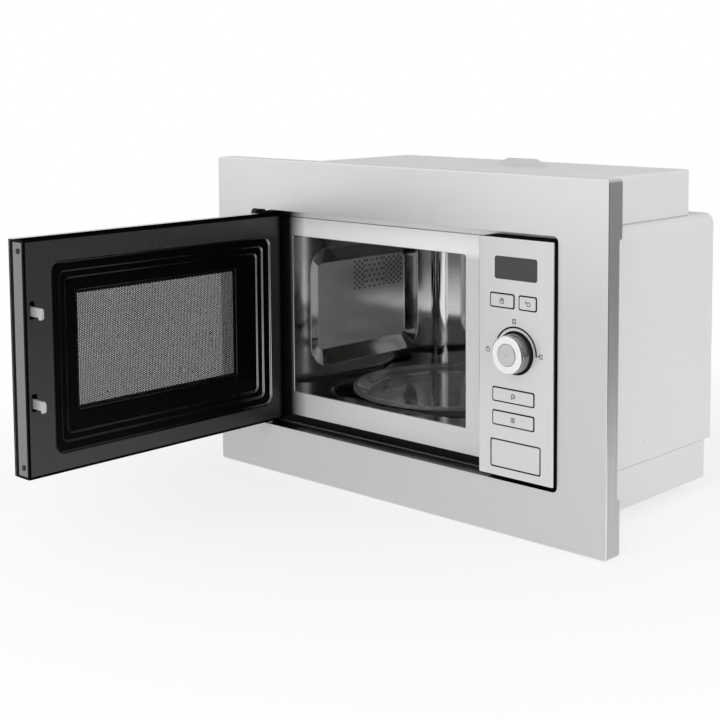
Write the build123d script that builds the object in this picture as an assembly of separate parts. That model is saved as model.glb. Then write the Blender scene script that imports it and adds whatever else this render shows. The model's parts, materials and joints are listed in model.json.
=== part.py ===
from build123d import *
import os
from math import cos, pi, radians, sin

# Built-in microwave oven with its cabinet trim kit. Millimetres, +Z up, front towards -Y.
# The origin is the centre of the four cabinet screws, level with the soles of the feet.
# The door is modelled shut and then swung open to its rest pose.

# ---------------------------------------------------------------- driving dimensions
sheet_gap = 0.3            # seam left between sheets and parts that only meet
running_gap = 0.05         # radial clearance of every turning fit
loose_gap = 1.0            # visible black outline round each push button
key_corner = 1.6

# Cabinet screws and feet
screw_spacing_x = 380.0
screw_spacing_y = 200.0
screw_hole_radius = 2.5
foot_radius = 16.0
foot_height = 12.0

# Trim kit: frame, base duct and upper duct
trim_width = 595.0
trim_height = 388.0
trim_sheet = 1.0
trim_corner = 4.0
front_to_screws = 160.0    # face of the trim to the centre of the screws
flange_depth = 23.3
flange_notch = 4.6         # the side flanges are shallower beside the oven
lip_margin = 0.5           # body sheet hidden behind the edge of the opening
lip_corner = 6.0
lip_to_plate = 2.1
duct_sheet = 1.0
base_duct_height = 45.0
base_duct_depth = 295.7
upper_duct_width = 445.0
upper_duct_drop = 7.5      # top of the duct below the top of the trim
upper_duct_depth = 269.7
duct_foot_width = 18.0
tab_base = 83.5            # hanging tab bent up from the top of the upper duct
tab_top = 44.0
tab_height = 8.3
tab_setback = 205.0
tab_offset_x = 28.8
bracket_sheet = 1.5
bracket_share = 0.65        # of a duct's height, covered by its bracket
bracket_leg = 50.0

# Oven body
body_width = 465.0
body_height = 267.5
body_depth = 285.4
body_sheet = 0.8
pad_height = 2.5
pad_radius = 10.0
casing_corner = 12.0
plate_sheet = 1.0
plate_margin_x = 0.5
plate_margin_z = 10.0

# Door and control panel, side by side in the opening of the trim
front_gap_x = 2.0
front_gap_z = 6.0
front_proud = 4.4
door_thickness = 29.2
door_seal_gap = 0.8
door_panel_gap = 1.5
panel_width = 99.0

# Oven cavity
cavity_width = 278.0
cavity_height = 194.5
cavity_floor_height = 39.5
cavity_left_margin = 44.5
cavity_depth = 273.4
cavity_corner = 3.0
cavity_rear_corner = 16.0
recess_rear_margin = 5.0
recess_depth = 18.0
recess_margin = 19.0
recess_corner = 40.0
press_depth = 7.0          # panel pressed outwards in the left wall, with sloping sides
press_slope = 20.0
press_front = 48.0
press_length = 161.0
press_bottom = 43.0
press_height = 111.0
press_corner = 8.0
emboss_depth = 3.0         # flat panel pressed outwards in the right wall
emboss_front = 38.0
emboss_length = 160.0
emboss_bottom = 22.0
emboss_height = 137.0
emboss_corner = 10.0
vent_hole_radius = 1.5
vent_pitch = 4.6
vent_rows = 6
vent_row_pitch = 7.0
vent_columns = (5, 7, 8)   # dense, sparse and dense again
vent_setback = 114.0
vent_height = 114.5
feed_length = 80.0         # opening for the microwaves in the right wall
feed_height = 50.0
feed_setback = 104.0
feed_bottom = 95.0

# Turntable
turntable_radius = 127.5
turntable_setback = 144.4
turntable_height = 11.0
turntable_base = 4.5
turntable_rim = 5.5
turntable_flat = 104.0
turntable_lift_clearance = 0.3
wheel_radius = 6.0
wheel_width = 6.0
wheel_track = 93.0
axle_radius = 2.0
ring_width = 4.0
ring_height = 6.0
coupler_arm = 17.0
coupler_arm_width = 8.0
coupler_stem = 6.0
coupler_shaft = 3.5
motor_radius = 25.0
plate_lug_radius = 3.5
plate_lug_ring = 12.0

# Casing details, power and cooling pieces
dimple_setback = 142.7
dimple_height = 20.8
rear_screw_radius = 1.75
rear_screw_inset = 10.0
rear_screw_low = 40.0
rear_screw_high = 225.0
rear_screw_spread = 110.0
gland_radius = 8.0
gland_inset = 30.0
gland_height = 22.0
fan_radius = 50.0
fan_height = 140.0
fan_inset = 24.0
fan_shaft = 2.5
guide_depth = 30.0         # waveguide, from the cavity to the magnetron
magnetron_length = 84.0
magnetron_height = 70.0
magnetron_yoke = 58.0      # along the antenna's axis
magnetron_sheet = 2.0
magnetron_core_radius = 18.0
magnetron_fin_pitch = 6.0
magnetron_fins = 6
antenna_radius = 8.0
antenna_reach = 22.0
antenna_gap = 3.0          # radially, in the hole of the waveguide
filter_box = (25.0, 48.0, 40.0)
filter_board_width = 68.0
filter_board_height = 40.0
filter_board_inset = 50.0  # right wall of the cavity to the board
filter_board_drop = 22.0
filter_board_gap = 8.0     # rear panel to the board
guide_sheet_metal = 1.0
guide_margin = 6.0
transformer_offset = 8.0
transformer_setback = 88.0
core_width = 92.0
core_length = 54.0
core_height = 78.0
core_limb = 26.0
core_window_width = 20.0
core_window_height = 42.0
capacitor_setback = 164.0
lamp_setback = 62.0
lamp_drop = 34.0

# Door
skin_sheet = 0.8
skin_return = 4.0
skin_corner = 3.0
door_window_width = 292.0
door_window_height = 176.0
door_window_corner = 8.0
glass_thickness = 3.2
glass_overlap = 9.0
core_depth = 10.0
pan_sheet = 1.0
pan_gap = 0.2
recess_hinge_side = 20.0
recess_free_side = 33.5
recess_top = 26.0
recess_bottom = 20.0
recess_radius = 12.0
choke_depth = 7.7
choke_wall = 1.5
choke_flange = 4.0
choke_steps = ((12.0, 3.5), (20.0, 1.6))
mesh_width = 222.0
mesh_height = 127.0
mesh_hinge_side = 54.0     # edge of the recess to the perforated field
mesh_bottom = 46.0
mesh_sheet = 0.8
mesh_border = 12.0
film_sheet = 0.4

# Hinges
hinge_inset = 14.5
hinge_setback = 8.0
swing_gap = 0.4
hinge_pin_radius = 3.0
hinge_pin_length = 10.0
hinge_sheet = 2.0
hinge_width = 18.0
hinge_leg = 26.0

# Latch
hook_inset = 9.0           # free edge of the door to the hooks
hook_thickness = 3.0
hook_height = 10.0
hook_reach = 20.0
hook_barb = 2.4
hook_barb_length = 6.2
lower_hook_level = 76.0
upper_hook_level = 175.0
hook_slot_width = 7.0
hook_slot_height = 19.0
bar_depth = 8.0
bar_setback = 14.0
bar_overrun = 12.0
guide_sheet = 3.0
guide_length = 60.0
spring_radius = 4.0
spring_wire = 0.6
spring_pitch = 4.0
spring_turns = 5
catch_sheet = 2.5
latch_board_width = 58.0
ear_sheet = 2.5
lever_hub_radius = 4.0
lever_pin_radius = 2.0
lever_arm_thickness = 4.0
lever_drop = 36.0          # pivot of the lever above the plunger

# Control panel
housing_wall = 2.0
fascia_sheet = 0.9
panel_inner_gap = 0.2
display_width = 56.0
display_height = 24.0
display_corner = 3.0
display_level = 224.5
knob_radius = 20.0
knob_base_radius = 21.5
knob_collar = 2.0
knob_height = 15.6
knob_pocket = 11.0
knob_level = 135.5
start_radius = 11.7
start_proud = 0.8
shaft_radius = 3.0
key_proud = 0.8
key_depth = 4.6
key_flange = 0.8            # rim of a key behind the housing
collar_wall = 1.6
key_travel = 1.0
release_width = 64.2
release_height = 28.2
release_level = 24.5
release_proud = 0.4
release_travel = 9.0
plunger_radius = 4.0
board_sheet = 1.6
board_setback = 17.0
board_foot = 50.0
board_head = 6.0

# ---------------------------------------------------------------- derived places
front = -front_to_screws
door_front = front - front_proud
plate_front = door_front + door_thickness + door_seal_gap
plate_back = plate_front + plate_sheet
body_back = plate_front + body_depth
base_duct_top = foot_height + base_duct_height
body_bottom = base_duct_top + pad_height
body_top = body_bottom + body_height
body_half = body_width / 2
opening_bottom = body_bottom - lip_margin
opening_height = body_height + lip_margin
opening_top = opening_bottom + opening_height
opening_width = body_width + 6.0
unit_half = opening_width / 2 - front_gap_x
unit_bottom = opening_bottom + front_gap_z
unit_top = opening_top - front_gap_z
panel_left = unit_half - panel_width
panel_x = unit_half - panel_width / 2
plate_bottom = body_bottom + plate_margin_z
plate_top = body_top - plate_margin_z
duct_bottom = body_top + sheet_gap
duct_top = trim_height - upper_duct_drop

cavity_left = -body_half + cavity_left_margin
cavity_right = cavity_left + cavity_width
cavity_x = (cavity_left + cavity_right) / 2
cavity_floor = body_bottom + cavity_floor_height
cavity_top = cavity_floor + cavity_height
cavity_back = plate_back + cavity_depth
recess_floor = cavity_floor - recess_depth
turntable_y = plate_front + turntable_setback
wheel_level = recess_floor + sheet_gap + wheel_radius
turntable_bottom = wheel_level + wheel_radius + turntable_lift_clearance

door_left = -unit_half
door_right = panel_left - door_panel_gap
pivot_x = door_left + hinge_inset
pivot_y = door_front + hinge_setback
swing_radius = plate_front - pivot_y - swing_gap
hook_x = door_right - hook_inset
hook_levels = (lower_hook_level, upper_hook_level)
pan_front = core_depth + pan_gap
recess_x0 = door_left + recess_hinge_side
recess_x1 = door_right - recess_free_side
recess_z0 = unit_bottom + recess_bottom
recess_z1 = unit_top - recess_top
mesh_x = recess_x0 + mesh_hinge_side + mesh_width / 2
mesh_z = recess_z0 + mesh_bottom + mesh_height / 2
choke_floor = door_thickness - choke_depth

knob_z = unit_bottom + knob_level
display_z = unit_bottom + display_level
release_z = unit_bottom + release_level
housing_front = fascia_sheet + 0.1
lever_y = plate_back + 7.4
plunger_x = panel_x - release_width / 2 + 8.5
plunger_z = release_z + 8.5
lever_z = plunger_z + lever_drop

board_bottom = unit_bottom + board_foot
board_top = unit_top - board_head
latch_x0 = hook_x - 12
latch_x1 = latch_x0 + latch_board_width
ear_x = (hook_x + hook_thickness / 2 + 3.6, latch_x1 - ear_sheet)

gland_x = body_half - gland_inset
gland_z = body_bottom + gland_height
fan_x = (cavity_right + body_half) / 2
fan_y = body_back - fan_inset
fan_z = body_bottom + fan_height
guide_x = cavity_right + emboss_depth + body_sheet + pan_gap
magnetron_x = guide_x + guide_depth
magnetron_y = plate_back + feed_setback + feed_length / 2
magnetron_z = cavity_floor + feed_bottom + feed_height / 2
transformer_x = fan_x + transformer_offset
transformer_y = plate_back + transformer_setback
transformer_base = body_bottom + body_sheet
lamp_y = body_back - lamp_setback
lamp_z = cavity_top - lamp_drop

# Each key: name, middle across the panel, height above the panel's foot, width, height.
keys = (
    ("key_upper_left", -17.8, 189.5, 30.2, 13.2),
    ("key_upper_right", 16.0, 189.5, 21.2, 13.2),
    ("key_middle", -2.8, 88.4, 53.6, 13.2),
    ("key_lower", -2.8, 63.1, 53.6, 13.6),
)


# ---------------------------------------------------------------- helpers
def block(x0, x1, y0, y1, z0, z1):
    """Box between two corners."""
    middle = Pos((x0 + x1) / 2, (y0 + y1) / 2, (z0 + z1) / 2)
    return middle * Box(x1 - x0, y1 - y0, z1 - z0)


def rod(axis, radius, a, b, start, end):
    """Cylinder along X, Y or Z; a and b are its two other coordinates in order."""
    length = end - start
    middle = (start + end) / 2
    if axis == "x":
        return Pos(middle, a, b) * Rot(0, 90, 0) * Cylinder(radius, length)
    if axis == "y":
        return Pos(a, middle, b) * Rot(90, 0, 0) * Cylinder(radius, length)
    return Pos(a, b, middle) * Cylinder(radius, length)


def face_plate(x0, x1, z0, z1, corner, y0, y1):
    """Plate with rounded corners standing in the XZ plane, from y0 back to y1."""
    outline = Pos((x0 + x1) / 2, (z0 + z1) / 2) * RectangleRounded(x1 - x0, z1 - z0, corner)
    return extrude(Plane.XZ.offset(-y0) * outline, amount=-(y1 - y0))


def floor_plate(x0, x1, y0, y1, corner, z0, z1):
    """Plate with rounded corners lying flat."""
    outline = Pos((x0 + x1) / 2, (y0 + y1) / 2) * RectangleRounded(x1 - x0, y1 - y0, corner)
    return extrude(Plane.XY.offset(z0) * outline, amount=z1 - z0)


def union(pieces):
    """All pieces as one shape."""
    total = pieces[0]
    for piece in pieces[1:]:
        total = total + piece
    return total


# ---------------------------------------------------------------- trim kit
def trim_frame():
    """Folded steel front frame: face, outer flange and the lip round the opening."""
    half = trim_width / 2
    back = front + flange_depth
    hole = opening_width / 2
    lip_back = plate_front - lip_to_plate
    frame = face_plate(-half, half, 0, trim_height, trim_corner, front, back)
    hollow = face_plate(
        -half + trim_sheet, half - trim_sheet, trim_sheet, trim_height - trim_sheet,
        trim_corner - trim_sheet, front + trim_sheet, back + 1,
    )
    lip = face_plate(
        -hole - trim_sheet, hole + trim_sheet, opening_bottom - trim_sheet,
        opening_top + trim_sheet, lip_corner + trim_sheet, front, lip_back,
    )
    opening = face_plate(-hole, hole, opening_bottom, opening_top, lip_corner, front - 1, back + 9)
    frame = frame - hollow + lip - opening
    for side in (-1, 1):
        x0, x1 = sorted((side * (half - 2 * trim_sheet), side * (half + 1)))
        frame -= block(x0, x1, back - flange_notch, back + 1, opening_bottom, opening_top)
    return frame


def trim_brackets():
    """Four angle brackets that hold the frame to the sides of the two ducts."""
    legs = []
    back = front + trim_sheet + sheet_gap
    sides = (
        (body_half, foot_height, base_duct_top),
        (upper_duct_width / 2, duct_bottom, duct_top),
    )
    for side_x, side_bottom, side_top in sides:
        margin = (side_top - side_bottom) * (1 - bracket_share) / 2
        z0, z1 = side_bottom + margin, side_top - margin
        inner = side_x + sheet_gap
        outer = inner + bracket_leg
        right = block(inner, inner + bracket_sheet, back, back + bracket_leg, z0, z1)
        right += block(inner, outer, back, back + bracket_sheet, z0, z1)
        legs += [right, mirror(right, about=Plane.YZ)]
    return Compound(children=legs)


def base_duct():
    """Square steel duct under the oven, open at both ends."""
    y0 = front + trim_sheet + sheet_gap
    y1 = y0 + base_duct_depth
    outer = block(-body_half, body_half, y0, y1, foot_height, base_duct_top)
    inner = block(
        -body_half + duct_sheet, body_half - duct_sheet, y0 - 1, y1 + 1,
        foot_height + duct_sheet, base_duct_top - duct_sheet,
    )
    duct = outer - inner
    for x, y in screw_places():
        duct -= rod("z", screw_hole_radius, x, y, foot_height - 1, foot_height + 2 * duct_sheet)
    return duct


def screw_places():
    """Middles of the four cabinet screws."""
    half_x = screw_spacing_x / 2
    half_y = screw_spacing_y / 2
    return [(x, y) for x in (-half_x, half_x) for y in (-half_y, half_y)]


def spacer_feet():
    """Four round rubber feet, each with the hole of a cabinet screw."""
    feet = []
    for x, y in screw_places():
        foot = rod("z", foot_radius, x, y, 0, foot_height)
        foot = fillet(foot.edges().group_by(Axis.Z)[0], 1.5)
        feet.append(foot - rod("z", screw_hole_radius, x, y, -1, foot_height + 1))
    return Compound(children=feet)


def oven_pads():
    """Four thin pads between the base duct and the oven."""
    inset = 30.0
    y0 = plate_back + inset
    y1 = body_back - 2 * inset
    places = [(x, y) for x in (-body_half + inset, body_half - inset) for y in (y0, y1)]
    return Compound(children=[rod("z", pad_radius, x, y, base_duct_top, body_bottom) for x, y in places])


def upper_duct():
    """Air duct over the oven: a channel with inward feet and a tab bent up from its top."""
    half = upper_duct_width / 2
    y0 = front + trim_sheet + sheet_gap
    y1 = y0 + upper_duct_depth
    wall_bottom = duct_bottom + duct_sheet
    duct = block(-half, half, y0, y1, wall_bottom, duct_top)
    duct = fillet(duct.edges().filter_by(Axis.Y).group_by(Axis.Z)[-1], 2.5)
    duct -= block(
        -half + duct_sheet, half - duct_sheet, y0 - 1, y1 + 1, wall_bottom - 1, duct_top - duct_sheet,
    )
    foot_front = plate_back + 4
    for side in (-1, 1):
        x0, x1 = sorted((side * half, side * (half - duct_foot_width)))
        duct += block(x0, x1, foot_front, y1, duct_bottom, wall_bottom)
    tab_y = front + tab_setback
    outline = Plane.XZ.offset(-tab_y) * Polyline(
        (tab_offset_x - tab_base / 2, duct_top - duct_sheet),
        (tab_offset_x + tab_base / 2, duct_top - duct_sheet),
        (tab_offset_x + tab_top / 2, duct_top + tab_height),
        (tab_offset_x - tab_top / 2, duct_top + tab_height),
        close=True,
    )
    window_depth = tab_height + duct_sheet
    window = block(
        tab_offset_x - tab_top / 2, tab_offset_x + tab_top / 2,
        tab_y + duct_sheet, tab_y + duct_sheet + window_depth, duct_top - 2, duct_top + 1,
    )
    return duct - window + extrude(make_face(outline), amount=-duct_sheet)


# ---------------------------------------------------------------- oven body
def base_plate():
    """Bottom sheet of the oven, with a turned-up front edge and cooling slots."""
    half = body_half - body_sheet - sheet_gap
    y0 = plate_back + sheet_gap
    y1 = body_back - 2 * plate_sheet
    plate = block(-half, half, y0, y1, body_bottom, body_bottom + body_sheet)
    plate += block(-half, half, y0, y0 + body_sheet, body_bottom, plate_bottom - sheet_gap)
    plate -= hinge_notch()
    for row in range(12):
        x = cavity_right + 22 + 8 * row
        plate -= block(x, x + 3, body_back - 110, body_back - 60, body_bottom - 1, body_bottom + 2)
    return plate


def hinge_notch():
    """Room for the leg of a hinge in the turned edges behind the front plate."""
    margin = 1.0
    return block(
        pivot_x - hinge_width / 2 - margin, pivot_x + hinge_width / 2 + margin,
        plate_back - 1, plate_back + sheet_gap + hinge_sheet + margin,
        body_bottom + body_sheet, body_top - body_sheet,
    )


def front_plate():
    """Polished steel face of the oven body, round the cavity and behind the door."""
    half = body_half - plate_margin_x
    plate = block(-half, half, plate_front, plate_back, plate_bottom, plate_top)
    plate -= cavity_box(0, plate_front - 1, plate_back + 1)
    for level in hook_levels:
        plate -= hook_slot(level, plate_front - 1, plate_back + 1)
    plate -= rod("y", plunger_radius + 1, plunger_x, plunger_z, plate_front - 1, plate_back + 1)
    return plate


def hook_slot(level, y0, y1):
    """Slot that a door hook swings through on its arc."""
    z0 = unit_bottom + level - hook_barb - 1
    return block(
        hook_x - hook_thickness / 2 - 1, hook_x + hook_thickness / 2 + 4,
        y0, y1, z0, z0 + hook_slot_height,
    )


def cavity_box(grow, y0, y1):
    """Main space of the cavity, grown outwards by a sheet."""
    space = block(
        cavity_left - grow, cavity_right + grow, y0, y1, cavity_floor - grow, cavity_top + grow,
    )
    top_edges = space.edges().filter_by(Axis.Y).group_by(Axis.Z)[-1]
    return fillet(top_edges, cavity_corner + grow)


def cavity_space(grow, y0):
    """Everything pressed into the cavity: main box, floor recess and side panels."""
    space = cavity_box(grow, y0, cavity_back + grow)
    space = fillet(space.edges().filter_by(Axis.Z).group_by(Axis.Y)[-1], cavity_rear_corner + grow)
    recess = floor_plate(
        cavity_left + recess_margin - grow, cavity_right - recess_margin + grow,
        plate_back + recess_margin - grow, cavity_back - recess_rear_margin + grow,
        recess_corner + grow, recess_floor - grow, cavity_floor + 1,
    )
    return space + recess + left_press(grow) + right_emboss(grow)


def left_press(grow):
    """Panel pressed outwards in the left wall: a flat field with sloping sides."""
    middle = Pos(
        plate_back + press_front + press_length / 2, cavity_floor + press_bottom + press_height / 2,
    )
    mouth, field = [
        Plane.YZ.offset(cavity_left - depth - grow) * middle * RectangleRounded(
            press_length + 2 * (slope + grow), press_height + 2 * (slope + grow),
            press_corner + slope + grow,
        )
        for depth, slope in ((0, press_slope), (press_depth, 0))
    ]
    return loft([mouth, field])


def right_emboss(grow):
    """Flat panel pressed outwards in the right wall, round the feed opening."""
    middle = Pos(
        plate_back + emboss_front + emboss_length / 2, cavity_floor + emboss_bottom + emboss_height / 2,
    )
    outline = Plane.YZ.offset(cavity_right - 1) * middle * RectangleRounded(
        emboss_length + 2 * grow, emboss_height + 2 * grow, emboss_corner + grow,
    )
    return extrude(outline, amount=1 + emboss_depth + grow)


def cavity_vents():
    """Perforations of the left wall: one lattice, thinned out in its middle columns."""
    holes = []
    column = 0
    for group, count in enumerate(vent_columns):
        sparse = group == 1
        step = 2 if sparse else 1
        for _ in range(count):
            y = plate_back + vent_setback + vent_pitch * column
            shift = (vent_row_pitch * step / 2) if column % 2 else 0
            for row in range(0, vent_rows, step):
                z = cavity_floor + vent_height + vent_row_pitch * row + shift
                if z < cavity_floor + vent_height + vent_row_pitch * (vent_rows - 0.75):
                    reach = cavity_left - press_depth - 3
                    holes.append(rod("x", vent_hole_radius, y, z, reach, cavity_left))
            column += 1
    return holes


def cavity():
    """Stainless cavity, pressed from thin sheet."""
    shell = cavity_space(body_sheet, plate_back) - cavity_space(0, plate_back - 1)
    shell -= feed_space(0, cavity_right - 1, cavity_right + emboss_depth + 2)
    shell -= rod("z", coupler_stem + 1.5, cavity_x, turntable_y, recess_floor - 3, recess_floor + 1)
    shell -= rod("x", 9, lamp_y, lamp_z, cavity_right - 1, cavity_right + 6)
    return shell - cavity_vents()


def feed_space(grow, x0, x1):
    """Block through the right wall where the waveguide feeds the cavity."""
    y0 = plate_back + feed_setback - grow
    z0 = cavity_floor + feed_bottom - grow
    return block(x0, x1, y0, y0 + feed_length + 2 * grow, z0, z0 + feed_height + 2 * grow)


def casing():
    """Wrap-round outer cover: top and two sides, with rounded upper edges."""
    y0 = plate_back + sheet_gap
    outer = block(-body_half, body_half, y0, body_back, body_bottom, body_top)
    outer = fillet(outer.edges().filter_by(Axis.Y).group_by(Axis.Z)[-1], casing_corner)
    inner = block(
        -body_half + body_sheet, body_half - body_sheet, y0 - 1, body_back + 1,
        body_bottom - 1, body_top - body_sheet,
    )
    inner = fillet(inner.edges().filter_by(Axis.Y).group_by(Axis.Z)[-1], casing_corner - body_sheet)
    cover = outer - inner
    lip_half = body_half - casing_corner
    cover += block(
        -lip_half, lip_half, y0, y0 + body_sheet, plate_top + sheet_gap, body_top - body_sheet / 2,
    )
    cover -= hinge_notch()
    for row in range(2):
        for column in range(9):
            y = body_back - 40 - 9 * column
            z = body_bottom + 60 + 60 * row
            cover -= block(-body_half - 1, -body_half + 2, y, y + 3.5, z, z + 42)
    dimple_y = plate_back + dimple_setback
    dimple_z = body_bottom + dimple_height
    return cover + rod("x", 2.5, dimple_y, dimple_z, body_half - body_sheet, body_half + 0.5)


def back_panel():
    """Rear sheet with slots for the fan, screw holes and the hole of the cable gland."""
    half = body_half - body_sheet - sheet_gap
    z0 = body_bottom + body_sheet + sheet_gap
    z1 = body_top - body_sheet - sheet_gap
    y0 = body_back - plate_sheet
    corner = casing_corner - body_sheet
    panel = face_plate(-half, half, z0, z1, corner, y0, body_back)
    for row in range(9):
        z = fan_z - 42 + 10 * row
        panel -= block(fan_x - 42, fan_x + 42, y0 - 1, body_back + 1, z, z + 4)
    panel -= rod("y", gland_radius, gland_x, gland_z, y0 - 1, body_back + 1)
    for x, z in rear_screw_places():
        panel -= rod("y", rear_screw_radius + 0.2, x, z, y0 - 1, body_back + 1)
    return panel


def rear_screw_places():
    """Screws along both sides and the top of the rear panel."""
    side = body_half - rear_screw_inset
    levels = (body_bottom + rear_screw_low, body_bottom + rear_screw_high)
    places = [(x, z) for x in (-side, side) for z in levels]
    top = body_top - rear_screw_inset
    return places + [(-rear_screw_spread, top), (rear_screw_spread, top)]


def casing_screws():
    """Six pan-head screws that close the casing from behind."""
    screws = []
    for x, z in rear_screw_places():
        head = rod("y", 4, x, z, body_back, body_back + 2.2)
        head = fillet(head.edges().group_by(Axis.Y)[-1], 1.2)
        head += rod("y", rear_screw_radius, x, z, body_back - 7, body_back)
        head -= block(x - 2.6, x + 2.6, body_back + 1.2, body_back + 3, z - 0.5, z + 0.5)
        head -= block(x - 0.5, x + 0.5, body_back + 1.2, body_back + 3, z - 2.6, z + 2.6)
        screws.append(head)
    return Compound(children=screws)


def inlet_gland():
    """Moulded bush in the rear panel where the mains lead goes in."""
    y0 = body_back - plate_sheet
    bush = rod("y", gland_radius - 0.1, gland_x, gland_z, y0 - 6, body_back + 1)
    bush += rod("y", gland_radius + 3, gland_x, gland_z, body_back, body_back + 5)
    bush += rod("y", gland_radius + 2, gland_x, gland_z, y0 - 5, y0)
    return bush - rod("y", 4.2, gland_x, gland_z, y0 - 8, body_back + 8)


# ---------------------------------------------------------------- power and cooling
def waveguide():
    """Folded steel duct from the magnetron to the right wall of the cavity."""
    outer = feed_space(guide_margin, guide_x, magnetron_x)
    inner = feed_space(guide_margin - guide_sheet_metal, guide_x - 1, magnetron_x - guide_sheet_metal)
    hole = rod("x", antenna_radius + antenna_gap, magnetron_y, magnetron_z, guide_x, magnetron_x + 1)
    return outer - inner - hole


def mica_cover():
    """Thin mica sheet over the feed opening, inside the cavity."""
    x1 = cavity_right + emboss_depth - pan_gap
    return feed_space(10, x1 - 0.6, x1)


def magnetron():
    """Yoke, cooling fins, antenna and filter box of the magnetron."""
    x0 = magnetron_x + pan_gap
    y0, y1 = magnetron_y - magnetron_length / 2, magnetron_y + magnetron_length / 2
    z0, z1 = magnetron_z - magnetron_height / 2, magnetron_z + magnetron_height / 2
    x1 = x0 + magnetron_yoke
    sheet = magnetron_sheet
    yoke = block(x0, x1, y0, y1, z0, z1)
    yoke -= block(x0 + sheet, x1 - sheet, y0 - 1, y1 + 1, z0 + sheet, z1 - sheet)
    core = rod("x", magnetron_core_radius, magnetron_y, magnetron_z, x0 + sheet / 2, x1 - sheet / 2)
    stack = magnetron_fin_pitch * (magnetron_fins - 1) + sheet / 2
    fins = []
    for index in range(magnetron_fins):
        x = (x0 + x1 - stack) / 2 + magnetron_fin_pitch * index
        fins.append(block(x, x + sheet / 2, y0 + 4, y1 - 4, z0 + sheet / 2, z1 - sheet / 2))
    antenna = rod("x", antenna_radius, magnetron_y, magnetron_z, x0 - antenna_reach, x0 + sheet / 2)
    length, width, height = filter_box
    box = block(
        x1 - sheet / 2, x1 - sheet / 2 + length, magnetron_y - width / 2, magnetron_y + width / 2,
        magnetron_z - height / 2, magnetron_z + height / 2,
    )
    return union([yoke, core, antenna, box] + fins)


def transformer_core():
    """Laminated E-I core with two windows, on a mounting foot."""
    x, y, z0 = transformer_x, transformer_y, transformer_base + 2
    core = block(
        x - core_width / 2, x + core_width / 2, y - core_length / 2, y + core_length / 2,
        z0, z0 + core_height,
    )
    middle = z0 + core_height / 2
    for side in (-1, 1):
        x0, x1 = sorted((x + side * core_limb / 2, x + side * (core_limb / 2 + core_window_width)))
        core -= block(
            x0, x1, y - core_length, y + core_length, middle - core_window_height / 2, middle + core_window_height / 2,
        )
    foot = block(
        x - core_width / 2, x + core_width / 2, y - core_length / 2 - 10, y + core_length / 2 + 10,
        transformer_base, z0,
    )
    return core + foot


def transformer_windings():
    """Primary and secondary windings as one wound block round the middle limb."""
    x, y = transformer_x, transformer_y
    middle = transformer_base + 2 + core_height / 2
    gap = 0.5
    half = core_limb / 2 + core_window_width - gap
    tall = core_window_height / 2 - gap
    coil = block(x - half, x + half, y - core_length / 2 - 18, y + core_length / 2 + 18, middle - tall, middle + tall)
    coil = fillet(coil.edges().filter_by(Axis.Z), 12)
    hole = block(
        x - core_limb / 2 - gap, x + core_limb / 2 + gap, y - core_length / 2 - gap, y + core_length / 2 + gap,
        middle - tall - 1, middle + tall + 1,
    )
    return coil - hole


def capacitor():
    """High-voltage capacitor can standing on the base, with two terminals."""
    x, y = transformer_x, plate_back + capacitor_setback
    z0 = body_bottom + body_sheet
    can = floor_plate(x - 26, x + 26, y - 16, y + 16, 15, z0, z0 + 70)
    return can + rod("z", 3, x - 10, y, z0 + 70, z0 + 78) + rod("z", 3, x + 10, y, z0 + 70, z0 + 78)


def fan_shroud():
    """Square plate with a round hole and collar, on four posts from the rear panel."""
    y0 = fan_y - 16
    half = fan_radius + 8
    plate = block(fan_x - half, fan_x + half, y0, y0 + 1.5, fan_z - half, fan_z + half)
    plate += rod("y", fan_radius + 3.5, fan_x, fan_z, y0, y0 + 8)
    plate -= rod("y", fan_radius + 2, fan_x, fan_z, y0 - 1, y0 + 9)
    reach = half - 5
    for x in (fan_x - reach, fan_x + reach):
        for z in (fan_z - reach, fan_z + reach):
            plate += rod("y", 3, x, z, y0 + 1, body_back - plate_sheet)
    return plate


def fan_motor():
    """Shaded-pole motor with two arms that reach across to the shroud."""
    y1 = fan_y - 16
    motor = block(fan_x - 22, fan_x + 22, y1 - 24, y1 - 4, fan_z - 26, fan_z + 26)
    motor += rod("y", 9, fan_x, fan_z, y1 - 30, y1 + 2)
    arm = block(fan_x - 5, fan_x + 5, y1 - 6, y1 - 4, fan_z - fan_radius - 7, fan_z + fan_radius + 7)
    for side in (-1, 1):
        z0, z1 = sorted((fan_z + side * (fan_radius + 4), fan_z + side * (fan_radius + 7)))
        arm += block(fan_x - 5, fan_x + 5, y1 - 6, y1, z0, z1)
    bore = rod("y", fan_shaft + running_gap, fan_x, fan_z, y1 - 28, y1 + 3)
    return motor + arm - bore


def fan_blade():
    """Five-bladed fan wheel on its shaft."""
    wheel = rod("y", 11, fan_x, fan_z, fan_y - 12, fan_y + 2)
    wheel += rod("y", fan_shaft, fan_x, fan_z, fan_y - 42, fan_y - 11)
    blade = Pos(0, 0, (fan_radius + 10) / 2) * Rot(0, 0, 32) * Box(30, 1.6, fan_radius - 10)
    tip = rod("y", fan_radius, 0, 0, -20, 20)
    for index in range(5):
        wheel += Pos(fan_x, fan_y - 5, fan_z) * Rot(0, 72 * index, 0) * (blade & tip)
    return wheel


def cavity_lamp():
    """Bulb and holder outside the right wall, behind its light hole."""
    y, z = lamp_y, lamp_z
    x0 = cavity_right + body_sheet + sheet_gap
    bulb = rod("x", 7, y, z, x0 + 0.1, x0 + 20)
    bulb = fillet(bulb.edges().group_by(Axis.X)[0], 5)
    holder = block(x0 + 19, x0 + 32, y - 12, y + 12, z - 12, z + 12)
    foot = block(x0, x0 + 32, y - 12, y + 12, z + 12, z + 13.5)
    return bulb + holder + foot


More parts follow.
